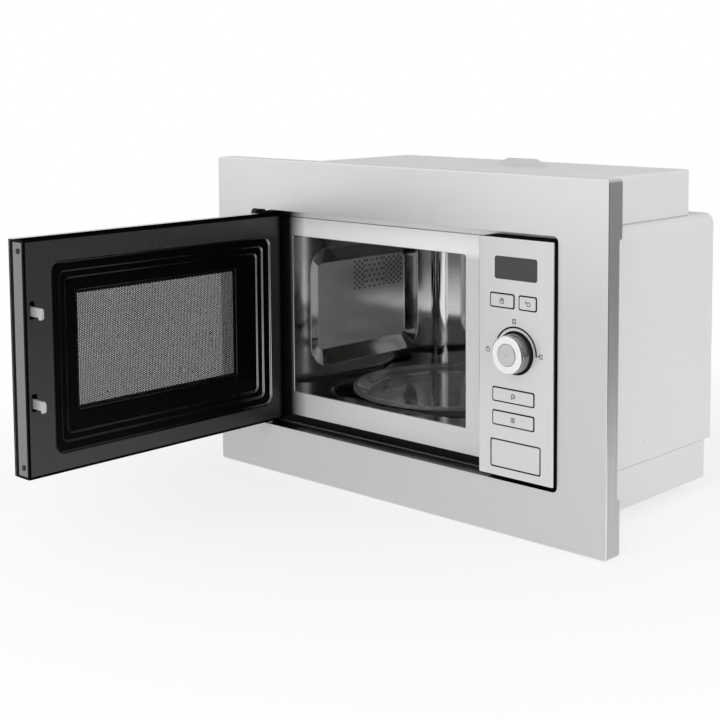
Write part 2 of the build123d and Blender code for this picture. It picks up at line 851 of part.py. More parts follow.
def filter_board():
    """Mains filter board on two posts from the rear panel."""
    y1 = body_back - plate_sheet
    x0 = cavity_right + filter_board_inset
    x1 = x0 + filter_board_width
    z1 = body_top - filter_board_drop
    z0 = z1 - filter_board_height
    board_back = y1 - filter_board_gap
    face = board_back - board_sheet
    board = block(x0, x1, face, board_back, z0, z1)
    coil_x = x0 + filter_board_width / 4
    board += rod("y", 9, coil_x, (z0 + z1) / 2, face - 14, face + 0.5)
    board += block(x1 - 34, x1 - 8, face - 12, face + 0.5, z0 + 8, z1 - 8)
    for x in (x0 + 5, x1 - 5):
        board += rod("y", 2.5, x, z0 + 4, board_back - 1, y1)
    return board


# ---------------------------------------------------------------- turntable
def turntable_motor():
    """Flat synchronous motor between the base and the cavity floor."""
    z0 = body_bottom + body_sheet
    z1 = recess_floor - body_sheet - sheet_gap
    motor = rod("z", motor_radius, cavity_x, turntable_y, z0, z1)
    return motor - rod("z", coupler_shaft + running_gap, cavity_x, turntable_y, z0 + 6, z1 + 1)


def turntable_coupler():
    """Three-armed driver on the motor shaft."""
    top = turntable_bottom - turntable_lift_clearance
    z0 = body_bottom + body_sheet + 7
    arms = rod("z", coupler_stem + 2, cavity_x, turntable_y, top - 6, top)
    for index in range(3):
        arm = Pos(coupler_arm / 2, 0, top - 3) * Box(coupler_arm, coupler_arm_width, 6)
        arms += Pos(cavity_x, turntable_y, 0) * Rot(0, 0, 120 * index) * arm
    stem_bottom = recess_floor - body_sheet
    arms += rod("z", coupler_stem, cavity_x, turntable_y, stem_bottom, top - 5)
    return arms + rod("z", coupler_shaft, cavity_x, turntable_y, z0, stem_bottom + 1)


def roller_ring():
    """Ring that carries three wheels on radial axles."""
    outer = wheel_track - wheel_width / 2 - 0.6
    z0 = wheel_level - ring_height / 2
    ring = rod("z", outer, cavity_x, turntable_y, z0, z0 + ring_height)
    ring -= rod("z", outer - ring_width, cavity_x, turntable_y, z0 - 1, z0 + ring_height + 1)
    end = wheel_track + wheel_width / 2 + 0.6
    for index in range(3):
        axle = rod("x", axle_radius, 0, wheel_level, outer - 1, end + 1)
        axle += rod("x", axle_radius + 1, 0, wheel_level, end, end + 1.4)
        ring += Pos(cavity_x, turntable_y, 0) * Rot(0, 0, 120 * index + 30) * axle
    return ring


def roller(index):
    """One wheel of the roller ring, with its running bore."""
    x0 = wheel_track - wheel_width / 2
    wheel = rod("x", wheel_radius, 0, wheel_level, x0, x0 + wheel_width)
    wheel = fillet(wheel.edges(), 1)
    wheel -= rod("x", axle_radius + running_gap, 0, wheel_level, x0 - 1, x0 + wheel_width + 1)
    return Pos(cavity_x, turntable_y, 0) * Rot(0, 0, 120 * index + 30) * wheel


def turntable_plate():
    """Glass plate with a raised rim and three lugs that the driver turns."""
    z0 = turntable_bottom
    z1 = z0 + turntable_base
    top = z0 + turntable_height
    rim_foot = turntable_radius - 2 * turntable_rim
    profile = Plane.XZ * Polyline(
        (0, z0), (turntable_flat, z0), (rim_foot + 2, top - turntable_rim + 1),
        (turntable_radius, top - turntable_rim + 1), (turntable_radius, top),
        (turntable_radius - turntable_rim, top), (turntable_flat + 3, z1), (0, z1),
        close=True,
    )
    plate = revolve(make_face(profile), Axis.Z)
    rim_edges = plate.edges().filter_by(GeomType.CIRCLE).group_by(Axis.Z)[-1]
    plate = fillet(rim_edges, 1.2)
    for index in range(3):
        angle = radians(120 * index + 60)
        x, y = plate_lug_ring * cos(angle), plate_lug_ring * sin(angle)
        plate += rod("z", plate_lug_radius, x, y, z0 - 3, z0 + 1)
    return Pos(cavity_x, turntable_y, 0) * plate


# ---------------------------------------------------------------- control panel
def key_edges(key, grow):
    """Edges of a key seen from the front, grown by a gap."""
    _, across, level, width, height = key
    x, z = panel_x + across, unit_bottom + level
    return (
        x - width / 2 - grow, x + width / 2 + grow, z - height / 2 - grow, z + height / 2 + grow,
    )


def panel_depth(setback):
    """Place behind the face of the control panel."""
    return door_front + setback


def release_edges(grow):
    """Edges of the door-release button seen from the front."""
    return (
        panel_x - release_width / 2 - grow, panel_x + release_width / 2 + grow,
        release_z - release_height / 2 - grow, release_z + release_height / 2 + grow,
    )


def display_edges(grow):
    """Edges of the display window seen from the front."""
    return (
        panel_x - display_width / 2 - grow, panel_x + display_width / 2 + grow,
        display_z - display_height / 2 - grow, display_z + display_height / 2 + grow,
    )


def panel_housing():
    """Black moulded box of the control panel, open towards the oven."""
    y0 = panel_depth(housing_front)
    y1 = plate_front - sheet_gap
    x0, x1 = panel_left, unit_half
    box = block(x0, x1, y0, y1, unit_bottom, unit_top)
    box -= block(
        x0 + housing_wall, x1 - housing_wall, y0 + housing_wall, y1 + 1,
        unit_bottom + housing_wall, unit_top - housing_wall,
    )
    box -= face_plate(*display_edges(panel_inner_gap), display_corner, y0 - 1, y0 + 1)
    box -= face_plate(*display_edges(-4), display_corner, y0 - 1, y0 + 9)
    for key in keys:
        box -= face_plate(*key_edges(key, loose_gap), key_corner + loose_gap, y0 - 1, y0 + 9)
    collar = face_plate(
        *release_edges(loose_gap + collar_wall), key_corner + loose_gap + collar_wall, y0 + 1, y0 + 15,
    )
    box = box + collar - face_plate(*release_edges(loose_gap), key_corner + loose_gap, y0 - 1, y0 + 16)
    box -= rod("y", shaft_radius + 2, panel_x, knob_z, y0 - 1, y0 + 9)
    for x in (x0 + 10, x1 - 10):
        for z in (board_bottom + 6, board_top - 6):
            box += rod("y", 3, x, z, y0 + 1, panel_depth(board_setback) - pan_gap)
    return box


def panel_fascia():
    """Brushed steel sheet on the front of the control panel."""
    y0, y1 = panel_depth(0), panel_depth(fascia_sheet)
    sheet = face_plate(panel_left, unit_half, unit_bottom, unit_top, 1.5, y0, y1)
    sheet -= face_plate(*display_edges(panel_inner_gap), display_corner, y0 - 1, y1 + 1)
    for key in keys:
        sheet -= face_plate(*key_edges(key, loose_gap), key_corner + loose_gap, y0 - 1, y1 + 1)
    sheet -= face_plate(*release_edges(loose_gap), key_corner + loose_gap, y0 - 1, y1 + 1)
    return sheet - rod("y", knob_base_radius + knob_collar, panel_x, knob_z, y0 - 1, y1 + 1)


def display_window():
    """Dark glass over the display."""
    return face_plate(*display_edges(0), display_corner, panel_depth(0.1), panel_depth(housing_front + 0.8))


def key_cap(key):
    """Push key with a retaining flange and a stem towards its switch."""
    y0 = panel_depth(-key_proud)
    y1 = panel_depth(key_depth)
    flange_y = panel_depth(housing_front + housing_wall + sheet_gap)
    x0, x1, z0, z1 = key_edges(key, 0)
    cap = face_plate(x0, x1, z0, z1, key_corner, y0, y1)
    cap = fillet(cap.faces().sort_by(Axis.Y)[0].edges(), 0.4)
    flange = key_edges(key, loose_gap + key_flange)
    cap += face_plate(*flange, key_corner, flange_y, flange_y + 1.3)
    stem_end = panel_depth(board_setback) - 5.4
    return cap + rod("y", 2, (x0 + x1) / 2, (z0 + z1) / 2, y1 - 1, stem_end)


def knob():
    """Tapered metal knob with a round pocket for the start button."""
    y0 = door_front - knob_height
    y1 = panel_depth(housing_front - sheet_gap)
    body = Pos(panel_x, (y0 + y1) / 2, knob_z) * Rot(90, 0, 0) * Cone(knob_base_radius, knob_radius, y1 - y0)
    body = fillet(body.edges().group_by(Axis.Y)[0], 1.2)
    groove = rod("y", knob_radius + 3, panel_x, knob_z, y0 + 3.2, y0 + 4.2)
    groove -= rod("y", knob_radius - 0.6, panel_x, knob_z, y0, y0 + 8)
    pocket = rod("y", start_radius + sheet_gap, panel_x, knob_z, y0 - 1, y0 + knob_pocket)
    hollow = rod("y", knob_radius - 2.5, panel_x, knob_z, y0 + knob_pocket + 2.5, y1 + 1)
    hub = rod("y", shaft_radius + 2.5, panel_x, knob_z, y0 + knob_pocket + 2, y1)
    bore = rod("y", shaft_radius + running_gap, panel_x, knob_z, y0 + knob_pocket + 1, y1 + 1)
    return body - groove - pocket - hollow + hub - bore


def start_button():
    """Round button in the middle of the knob."""
    y0 = door_front - knob_height - start_proud
    cap = rod("y", start_radius, panel_x, knob_z, y0, y0 + knob_pocket + start_proud - key_travel - 0.5)
    return fillet(cap.edges().group_by(Axis.Y)[0], 0.8)


def encoder_shaft():
    """Shaft that the knob turns."""
    y0 = door_front - knob_height + knob_pocket + 1.2
    return rod("y", shaft_radius, panel_x, knob_z, y0, panel_depth(board_setback) - 1)


def encoder():
    """Rotary encoder on the control board."""
    y1 = panel_depth(board_setback) - 0.1
    body = block(panel_x - 7, panel_x + 7, y1 - 8, y1, knob_z - 7, knob_z + 7)
    return body - rod("y", shaft_radius + running_gap, panel_x, knob_z, y1 - 9, y1 + 1)


def control_board():
    """Circuit board with the key switches, the display block and the relays."""
    y0 = panel_depth(board_setback)
    x0, x1 = panel_left + 5, unit_half - 5
    board = block(x0, x1, y0, y0 + board_sheet, board_bottom, board_top)
    for key in keys:
        kx0, kx1, kz0, kz1 = key_edges(key, 0)
        x, z = (kx0 + kx1) / 2, (kz0 + kz1) / 2
        board += block(x - 3, x + 3, y0 - 4, y0 + 0.5, z - 3, z + 3)
    board += block(*display_span(), y0 - 11, y0 + 0.5, display_z - 11, display_z + 11)
    for index in range(3):
        x = x0 + 14 + 27 * index
        board += block(x, x + 18, y0 + 1, y0 + 9, board_bottom + 12, board_bottom + 30)
    return board


def display_span():
    """Left and right ends of the display block."""
    return panel_x - display_width / 2 + 2, panel_x + display_width / 2 - 2


def release_button():
    """Door-release button: a deep cap with a plunger that goes through the front plate."""
    y0 = panel_depth(-release_proud)
    y1 = plate_front - release_travel - 3
    cap = face_plate(*release_edges(0), key_corner, y0, y1)
    cap = fillet(cap.faces().sort_by(Axis.Y)[0].edges(), 0.6)
    cap -= face_plate(*release_edges(-2), 1, y0 + 2.2, y1 + 1)
    tip = lever_y - lever_arm_thickness / 2 - sheet_gap
    return cap + rod("y", plunger_radius, plunger_x, plunger_z, y0 + 1.5, tip)


# ---------------------------------------------------------------- latch
def latch_board():
    """Moulded catch board behind the front plate, with ears for the release lever."""
    y0 = plate_back + sheet_gap
    y1 = y0 + catch_sheet
    board = block(latch_x0, latch_x1, y0, y1, lever_z - 14, unit_bottom + upper_hook_level + 22)
    for level in hook_levels:
        board -= hook_slot(level, y0 - 1, y1 + 1)
    for level in hook_levels:
        top = unit_bottom + level - sheet_gap
        catch_back = hook_barb_front() - sheet_gap - 0.1
        board += block(
            hook_x - hook_thickness / 2 - 2, hook_x + hook_thickness / 2 + 2,
            y1 - 1, catch_back, top - 8, top,
        )
    reach = lever_y + lever_pin_radius + 2
    for x in ear_x:
        board += block(x, x + ear_sheet, y1 - 1, reach, lever_z - 5, lever_z + 5)
    return board + rod("x", lever_pin_radius, lever_y, lever_z, ear_x[0] + 1, ear_x[1] + 1)


def hook_barb_front():
    """Place of the hook's barb when the door is shut."""
    return door_front + door_thickness + hook_reach - hook_barb_length


def latch_switches():
    """Two door switches on the latch board."""
    y0 = plate_back + sheet_gap + catch_sheet + pan_gap
    x0 = hook_x + hook_thickness / 2 + 6
    switches = []
    for level in hook_levels:
        z = unit_bottom + level + 18
        body = block(x0, x0 + 10, y0, y0 + 16, z, z + 28)
        switches.append(body + block(x0 + 1, x0 + 9, y0 + 15, y0 + 22, z + 8, z + 20))
    return Compound(children=switches)


def latch_lever():
    """Bell crank: the plunger pushes its lower arm back, its finger lifts the lower hook."""
    x0 = ear_x[0] + ear_sheet + sheet_gap
    x1 = ear_x[1] - sheet_gap
    half = lever_arm_thickness / 2
    finger_back = hook_barb_front() + hook_barb_length
    finger_front = finger_back - 4
    finger_top = unit_bottom + lower_hook_level - hook_barb - sheet_gap - 0.1
    hub = rod("x", lever_hub_radius, lever_y, lever_z, x0, x1)
    arm = block(plunger_x - 5, plunger_x + 5, lever_y - half, lever_y + half, plunger_z - 6, lever_z)
    foot = block(x0, x0 + 4, lever_y, finger_back, lever_z - half, lever_z + half)
    finger = block(hook_x - 3, x0 + 4, finger_front, finger_back, lever_z - half, finger_top)
    bore = rod("x", lever_pin_radius + running_gap, lever_y, lever_z, x0 - 1, x1 + 1)
    return hub + arm + foot + finger - bore


# ---------------------------------------------------------------- door, modelled shut
def door_depth(setback):
    """Place behind the face of the shut door."""
    return door_front + setback


def door_block(inset, e0, e1, radius):
    """Full door outline between two depths, rounded where it swings past the front plate."""
    x0, x1 = door_left + inset, door_right - inset
    solid = block(x0, x1, door_depth(e0), door_depth(e1), unit_bottom + inset, unit_top - inset)
    waste = block(
        door_left - 5, pivot_x, pivot_y, door_depth(door_thickness + 9), unit_bottom - 5, unit_top + 5,
    )
    waste -= rod("z", radius, pivot_x, pivot_y, unit_bottom - 9, unit_top + 9)
    return solid - waste


def door_skin():
    """Brushed steel front of the door, folded back at its edges, with a glazed opening."""
    outer = door_block(0, 0, skin_return, swing_radius)
    outer = fillet(outer.edges().filter_by(Axis.Z).group_by(Axis.Y)[0], skin_corner)
    inner = block(
        door_left + skin_sheet, door_right - skin_sheet, door_depth(skin_sheet), door_depth(9),
        unit_bottom + skin_sheet, unit_top - skin_sheet,
    )
    inner = fillet(inner.edges().filter_by(Axis.Z).group_by(Axis.Y)[0], skin_corner - skin_sheet)
    return outer - inner - door_window(0, -1, 9)


def door_window(grow, e0, e1):
    """Block of the door's window between two depths."""
    x = (door_left + door_right) / 2
    z = (unit_bottom + unit_top) / 2
    return face_plate(
        x - door_window_width / 2 - grow, x + door_window_width / 2 + grow,
        z - door_window_height / 2 - grow, z + door_window_height / 2 + grow,
        door_window_corner, door_depth(e0), door_depth(e1),
    )


def door_glass():
    """Outer door glass, held between the steel front and the moulded frame."""
    e0 = skin_sheet + pan_gap
    return door_window(glass_overlap, e0, e0 + glass_thickness)


def door_core():
    """Black moulded frame of the door, with the hinge bores and the guides of the latch bar."""
    inset = skin_sheet + pan_gap
    rim_front = skin_return + pan_gap
    core = door_block(0, rim_front, core_depth, swing_radius)
    insert = block(
        door_left + inset, door_right - inset, door_depth(inset), door_depth(rim_front + 1),
        unit_bottom + inset, unit_top - inset,
    )
    insert = fillet(insert.edges().filter_by(Axis.Z).group_by(Axis.Y)[0], skin_corner - skin_sheet)
    core += insert
    core -= door_window(glass_overlap + pan_gap, inset - 1, inset + glass_thickness + 0.1)
    core -= door_window(0, inset, core_depth + 1)
    clear = pan_sheet + pan_gap
    for z0, z1, mouth in ((unit_bottom + clear, unit_bottom + 16, -1), (unit_top - 16, unit_top - clear, 1)):
        core += block(
            door_left + clear, pivot_x + 12, door_depth(core_depth - 1),
            door_depth(core_depth + 3.5), z0, z1,
        )
    core -= hinge_bore(hinge_pin_radius + running_gap, hinge_pin_length + 1)
    guide = hook_thickness / 2 + sheet_gap
    for x0 in (hook_x - guide - guide_sheet, hook_x + guide):
        core += block(
            x0, x0 + guide_sheet, door_depth(core_depth - 1), door_depth(bar_setback + 5),
            guide_top() - guide_length, guide_top(),
        )
    peg_top = spring_foot()
    core += block(
        hook_x - 5, hook_x + 5, door_depth(core_depth - 1), door_depth(bar_setback + 9), peg_top - 3, peg_top,
    )
    return core


def hinge_bore(radius, length):
    """Pin space at the top and the bottom of the door."""
    low = rod("z", radius, pivot_x, pivot_y, unit_bottom - 1, unit_bottom + length)
    return low + rod("z", radius, pivot_x, pivot_y, unit_top - length, unit_top + 1)


def door_pan():
    """Pressed steel inner pan: side walls and the flat border round the recess."""
    pan = door_block(0, pan_front, door_thickness, swing_radius)
    pan -= door_block(pan_sheet, pan_front - 1, door_thickness - pan_sheet, swing_radius - pan_sheet)
    pan -= recess_plate(0, pan_front, door_thickness + 1)
    pan -= hinge_bore(hinge_pin_radius + 1.5, hinge_pin_length)
    for level in hook_levels:
        z0 = unit_bottom + level - hook_barb - 1
        x0 = hook_x - hook_slot_width / 2
        pan -= block(
            x0, x0 + hook_slot_width, door_depth(door_thickness - 3), door_depth(door_thickness + 1),
            z0, z0 + hook_slot_height,
        )
    return pan


def recess_plate(grow, e0, e1):
    """Block of the recess in the inner face of the door."""
    return face_plate(
        recess_x0 - grow, recess_x1 + grow, recess_z0 - grow, recess_z1 + grow,
        recess_radius + grow, door_depth(e0), door_depth(e1),
    )


def mesh_plate(grow, e0, e1):
    """Block over the perforated field."""
    return face_plate(
        mesh_x - mesh_width / 2 - grow, mesh_x + mesh_width / 2 + grow,
        mesh_z - mesh_height / 2 - grow, mesh_z + mesh_height / 2 + grow,
        3, door_depth(e0), door_depth(e1),
    )


def choke_cover():
    """Glossy black moulding that lines the recess, with stepped ledges round the window."""
    rim = door_thickness - pan_gap
    tray = recess_plate(-pan_gap, choke_floor, rim)
    tray -= recess_plate(-pan_gap - choke_wall, choke_floor + choke_wall, rim + 1)
    for inset, height in choke_steps:
        ledge = recess_plate(-pan_gap - choke_wall / 2, choke_floor + 1, choke_floor + choke_wall + height)
        hole = recess_plate_inner(inset, choke_floor, rim)
        tray += ledge - hole
    flange_back = door_thickness - pan_sheet - pan_gap
    flange = recess_plate(choke_flange, flange_back - choke_wall, flange_back)
    tray += flange - recess_plate(-pan_gap - choke_wall / 2, choke_floor, rim + 1)
    return tray - mesh_plate(2, choke_floor - 1, rim + 1)


def recess_plate_inner(inset, e0, e1):
    """Block inside the recess, used to hollow out a ledge."""
    return face_plate(
        recess_x0 + inset, recess_x1 - inset, recess_z0 + inset, recess_z1 - inset,
        recess_radius / 2, door_depth(e0), door_depth(e1),
    )


def inner_window():
    """Clear film over the mesh, on the cavity side."""
    e1 = choke_floor - pan_gap
    return mesh_plate(mesh_border - 2, e1 - film_sheet, e1)


def mesh_screen():
    """Steel screen behind the film; its perforated field is drawn as a plain sheet."""
    e1 = choke_floor - 2 * pan_gap - film_sheet
    return mesh_plate(mesh_border, e1 - mesh_sheet, e1)


def guide_top():
    """Top of the guides in the door, where the shoulder of the latch bar comes to rest."""
    return unit_bottom + upper_hook_level - 10


def hook_bar_bottom():
    """Lower end of the latch bar."""
    return unit_bottom + lower_hook_level - bar_overrun


def spring_foot():
    """Foot of the latch spring."""
    return hook_bar_bottom() - spring_pitch * spring_turns - 2 * spring_wire - 0.2


def latch_hooks():
    """Sliding bar in the door with two hooks that reach into the latch board."""
    x0, x1 = hook_x - hook_thickness / 2, hook_x + hook_thickness / 2
    top = unit_bottom + upper_hook_level + hook_height + bar_overrun
    bar = block(
        x0, x1, door_depth(bar_setback), door_depth(bar_setback + bar_depth), hook_bar_bottom(), top,
    )
    rest = guide_top() + sheet_gap
    reach = guide_sheet + sheet_gap
    bar += block(
        x0 - reach, x1 + reach, door_depth(bar_setback), door_depth(bar_setback + 5), rest, rest + 4,
    )
    tip = door_depth(door_thickness + hook_reach)
    for level in hook_levels:
        z0 = unit_bottom + level
        hook = block(x0, x1, door_depth(bar_setback + 1), tip, z0, z0 + hook_height)
        hook += block(x0, x1, tip - hook_barb_length, tip, z0 - hook_barb, z0 + 1)
        nose = hook.edges().filter_by(Axis.X).group_by(Axis.Y)[-1]
        bar += chamfer(nose, 2.2)
    return bar


def hook_spring():
    """Coil spring that pulls the latch bar down."""
    foot = spring_foot() + spring_wire
    y = door_depth(bar_setback + bar_depth / 2)
    path = Helix(spring_pitch, spring_pitch * spring_turns, spring_radius)
    start = path @ 0
    section = Plane(origin=start, z_dir=path % 0) * Circle(spring_wire)
    return Pos(hook_x, y, foot + 0.1) * sweep(section, path=path)


def door_screws():
    """Two screws in the free end of the pan."""
    screws = []
    for z in (unit_bottom + 12, unit_top - 12):
        y = door_depth((pan_front + door_thickness) / 2)
        screws.append(rod("x", 3, y, z, door_right, door_right + 1))
    return Compound(children=screws)


def hinge(level, inward):
    """Hinge bracket: an arm from behind the front plate, with the pin of the door."""
    half = hinge_width / 2
    near = level - inward * sheet_gap
    far = near - inward * hinge_sheet
    z0, z1 = sorted((near, far))
    y1 = plate_back + sheet_gap + hinge_sheet
    arm = block(pivot_x - half, pivot_x + half, pivot_y, y1, z0, z1)
    arm += rod("z", half, pivot_x, pivot_y, z0, z1)
    leg_end = (plate_bottom if inward > 0 else plate_top) + inward * hinge_leg
    l0, l1 = sorted((far, leg_end))
    arm += block(pivot_x - half, pivot_x + half, plate_back + sheet_gap, y1, l0, l1)
    p0, p1 = sorted((near, level + inward * hinge_pin_length))
    return arm + rod("z", hinge_pin_radius, pivot_x, pivot_y, p0, p1)


def swing_open(shape):
    """Turn a door piece from shut to its open rest pose."""
    return shape.rotate(Axis((pivot_x, pivot_y, 0), (0, 0, 1)), -90)


# ---------------------------------------------------------------- output
os.makedirs("parts", exist_ok=True)

nodes = {
    "trim_frame": trim_frame(),
    "trim_brackets": trim_brackets(),
    "upper_duct": upper_duct(),
    "base_duct": base_duct(),
    "spacer_feet": spacer_feet(),
    "oven_pads": oven_pads(),
    "base_plate": base_plate(),
    "front_plate": front_plate(),
    "cavity": cavity(),
    "casing": casing(),
    "back_panel": back_panel(),
    "casing_screws": casing_screws(),
    "inlet_gland": inlet_gland(),
    "waveguide": waveguide(),
    "mica_cover": mica_cover(),
    "magnetron": magnetron(),
    "transformer_core": transformer_core(),
    "transformer_windings": transformer_windings(),
    "capacitor": capacitor(),
    "fan_shroud": fan_shroud(),
    "fan_motor": fan_motor(),
    "fan_blade": fan_blade(),
    "cavity_lamp": cavity_lamp(),
    "filter_board": filter_board(),
    "turntable_motor": turntable_motor(),
    "turntable_coupler": turntable_coupler(),
    "roller_ring": roller_ring(),
    "turntable_plate": turntable_plate(),
    "panel_housing": panel_housing(),
    "panel_fascia": panel_fascia(),
    "display_window": display_window(),
    "control_board": control_board(),
    "encoder": encoder(),
    "encoder_shaft": encoder_shaft(),
    "knob": knob(),
    "start_button": start_button(),
    "release_button": release_button(),
    "latch_board": latch_board(),
    "latch_switches": latch_switches(),
    "latch_lever": latch_lever(),
    "hinge_top": hinge(unit_top, -1),
    "hinge_bottom": hinge(unit_bottom, 1),
}
for wheel_index in range(3):
    nodes[f"roller_{wheel_index + 1}"] = roller(wheel_index)
for key in keys:
    nodes[key[0]] = key_cap(key)

door_nodes = {
    "door_skin": door_skin(),
    "door_glass": door_glass(),
    "door_core": door_core(),
    "door_pan": door_pan(),
    "choke_cover": choke_cover(),
    "inner_window": inner_window(),
    "mesh_screen": mesh_screen(),
    "latch_hooks": latch_hooks(),
    "hook_spring": hook_spring(),
    "door_screws": door_screws(),
}
for name, shape in door_nodes.items():
    nodes[name] = swing_open(shape)

for name, shape in nodes.items():
    export_step(shape, f"parts/{name}.step")
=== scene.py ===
import json
import math

import bmesh
import bpy
from mathutils import Matrix, Vector

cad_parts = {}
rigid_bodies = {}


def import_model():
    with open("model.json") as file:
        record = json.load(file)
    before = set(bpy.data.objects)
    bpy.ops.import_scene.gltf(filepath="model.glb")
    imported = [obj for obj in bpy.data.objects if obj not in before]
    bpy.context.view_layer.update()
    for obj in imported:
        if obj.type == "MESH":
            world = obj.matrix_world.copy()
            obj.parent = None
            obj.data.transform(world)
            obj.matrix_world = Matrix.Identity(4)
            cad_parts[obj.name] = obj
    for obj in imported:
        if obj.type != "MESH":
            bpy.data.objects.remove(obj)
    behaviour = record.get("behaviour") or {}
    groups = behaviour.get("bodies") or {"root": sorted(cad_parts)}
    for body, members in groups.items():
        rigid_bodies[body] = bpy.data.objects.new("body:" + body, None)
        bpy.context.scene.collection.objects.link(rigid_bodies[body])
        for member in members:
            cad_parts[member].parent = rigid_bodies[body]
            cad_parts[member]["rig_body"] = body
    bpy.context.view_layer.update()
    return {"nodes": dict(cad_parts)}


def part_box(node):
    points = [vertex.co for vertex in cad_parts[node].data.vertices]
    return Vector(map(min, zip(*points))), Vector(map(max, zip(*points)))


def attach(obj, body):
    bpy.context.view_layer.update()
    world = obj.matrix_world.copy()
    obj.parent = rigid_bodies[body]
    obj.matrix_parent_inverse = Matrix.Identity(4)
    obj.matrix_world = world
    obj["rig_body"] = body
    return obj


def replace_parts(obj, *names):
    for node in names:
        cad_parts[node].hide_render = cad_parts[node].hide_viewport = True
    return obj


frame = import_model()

# --- Trim frame and its brackets ---------------------------------------------
# A frame of stainless sheet with its outer edges bent back covers the gap
# between oven and cabinet. Its face is brushed lengthwise and painted paler
# towards the top as light; its bent-back sides and the lip round its opening
# get darker steel as painted shade, and its rounded front edges a polished
# steel that is partly a painted highlight. L brackets behind it are spot
# welded to the two ducts.
MM = 0.001


def new_effect(name, inputs, outputs):
    """An empty node group with its named sockets, and its input and output nodes."""
    group = bpy.data.node_groups.new(name, "ShaderNodeTree")
    for socket, kind in inputs:
        group.interface.new_socket(socket, in_out="INPUT", socket_type=f"NodeSocket{kind}")
    for socket, kind in outputs:
        group.interface.new_socket(socket, in_out="OUTPUT", socket_type=f"NodeSocket{kind}")
    return group, group.nodes.new("NodeGroupInput"), group.nodes.new("NodeGroupOutput")


def spread(tree, value, low, high, lowest=0.0, highest=1.0):
    """The value's stretch from low to high, as a stretch from lowest to highest."""
    step = tree.nodes.new("ShaderNodeMapRange")
    for socket, number in zip(("From Min", "From Max", "To Min", "To Max"), (low, high, lowest, highest)):
        step.inputs[socket].default_value = number
    tree.links.new(value, step.inputs["Value"])
    return step.outputs["Result"]


def worked(tree, operation, first, second):
    """One sum on two values, each a socket or a number."""
    step = tree.nodes.new("ShaderNodeMath")
    step.operation = operation
    for socket, value in zip(step.inputs, (first, second)):
        if isinstance(value, (int, float)):
            socket.default_value = value
        else:
            tree.links.new(value, socket)
    return step.outputs["Value"]


def blended(tree, share, first, second):
    """A colour between two, as far as the share says. A number stands for a grey."""
    step = tree.nodes.new("ShaderNodeMix")
    step.data_type = "RGBA"
    tree.links.new(share, step.inputs["Factor"])
    ends = [socket for socket in step.inputs if socket.type == "RGBA"]
    for socket, colour in zip(ends, (first, second)):
        if isinstance(colour, float):
            socket.default_value = (colour, colour, colour, 1)
        elif isinstance(colour, tuple):
            socket.default_value = (*colour, 1)
        else:
            tree.links.new(colour, socket)
    return [socket for socket in step.outputs if socket.type == "RGBA"][0]


def axes_of(tree, kind="Object"):
    """The separate coordinates of a spot on the piece, or of another kind of place."""
    place = tree.nodes.new("ShaderNodeTexCoord")
    axes = tree.nodes.new("ShaderNodeSeparateXYZ")
    tree.links.new(place.outputs[kind], axes.inputs["Vector"])
    return axes.outputs


sheet_grain, source, result = new_effect(
    "sheet_grain",
    [("Place", "Vector"), ("Stretch", "Vector")],
    [("Grain", "Float"), ("Handling", "Float")],
)
drawn = sheet_grain.nodes.new("ShaderNodeVectorMath")
drawn.operation = "MULTIPLY"
sheet_grain.links.new(source.outputs["Place"], drawn.inputs[0])
sheet_grain.links.new(source.outputs["Stretch"], drawn.inputs[1])
for output, vector, size, detail in (
    ("Grain", drawn.outputs["Vector"], 1.0, 4.0),
    ("Handling", source.outputs["Place"], 9.0, 3.0),
):
    noise = sheet_grain.nodes.new("ShaderNodeTexNoise")
    noise.inputs["Scale"].default_value = size
    noise.inputs["Detail"].default_value = detail
    noise.inputs["Roughness"].default_value = 0.6
    sheet_grain.links.new(vector, noise.inputs["Vector"])
    sheet_grain.links.new(spread(sheet_grain, noise.outputs["Fac"], 0.3, 0.7), result.inputs[output])


def grained(name, stretch, metallic=0.0, polish=None):
    """A new material, its tree, its shader and its grain. Handling varies the polish, if it has one."""
    material = bpy.data.materials.new(name)
    material.use_nodes = True
    tree = material.node_tree
    place = tree.nodes.new("ShaderNodeTexCoord")
    sheet = tree.nodes.new("ShaderNodeGroup")
    sheet.node_tree = sheet_grain
    sheet.inputs["Stretch"].default_value = stretch
    tree.links.new(place.outputs["Object"], sheet.inputs["Place"])
    shader = tree.nodes["Principled BSDF"]
    shader.inputs["Metallic"].default_value = metallic
    if polish:
        tree.links.new(spread(tree, sheet.outputs["Handling"], 0, 1, *polish), shader.inputs["Roughness"])
    return material, tree, shader, sheet


def surface(name, shades, polish, metallic=0.0, stretch=(300, 300, 300), relief=0.0, shine=0.5,
            tint=(1.0, 1.0, 1.0)):
    """A finish whose shade varies along its grain, with a polish that handling varies."""
    material, tree, shader, sheet = grained(name, stretch, metallic, polish)
    shader.inputs["Specular IOR Level"].default_value = shine
    dark, light = [tuple(shade * part for part in tint) for shade in shades]
    tree.links.new(blended(tree, sheet.outputs["Grain"], dark, light), shader.inputs["Base Color"])
    if relief:
        bump = tree.nodes.new("ShaderNodeBump")
        bump.inputs["Strength"].default_value = relief
        bump.inputs["Distance"].default_value = 0.05 * MM
        tree.links.new(sheet.outputs["Grain"], bump.inputs["Height"])
        tree.links.new(bump.outputs["Normal"], shader.inputs["Normal"])
    return material


def as_mesh(name, shape):
    """A new mesh of a finished shape."""
    mesh = bpy.data.meshes.new(name)
    shape.to_mesh(mesh)
    shape.free()
    return mesh


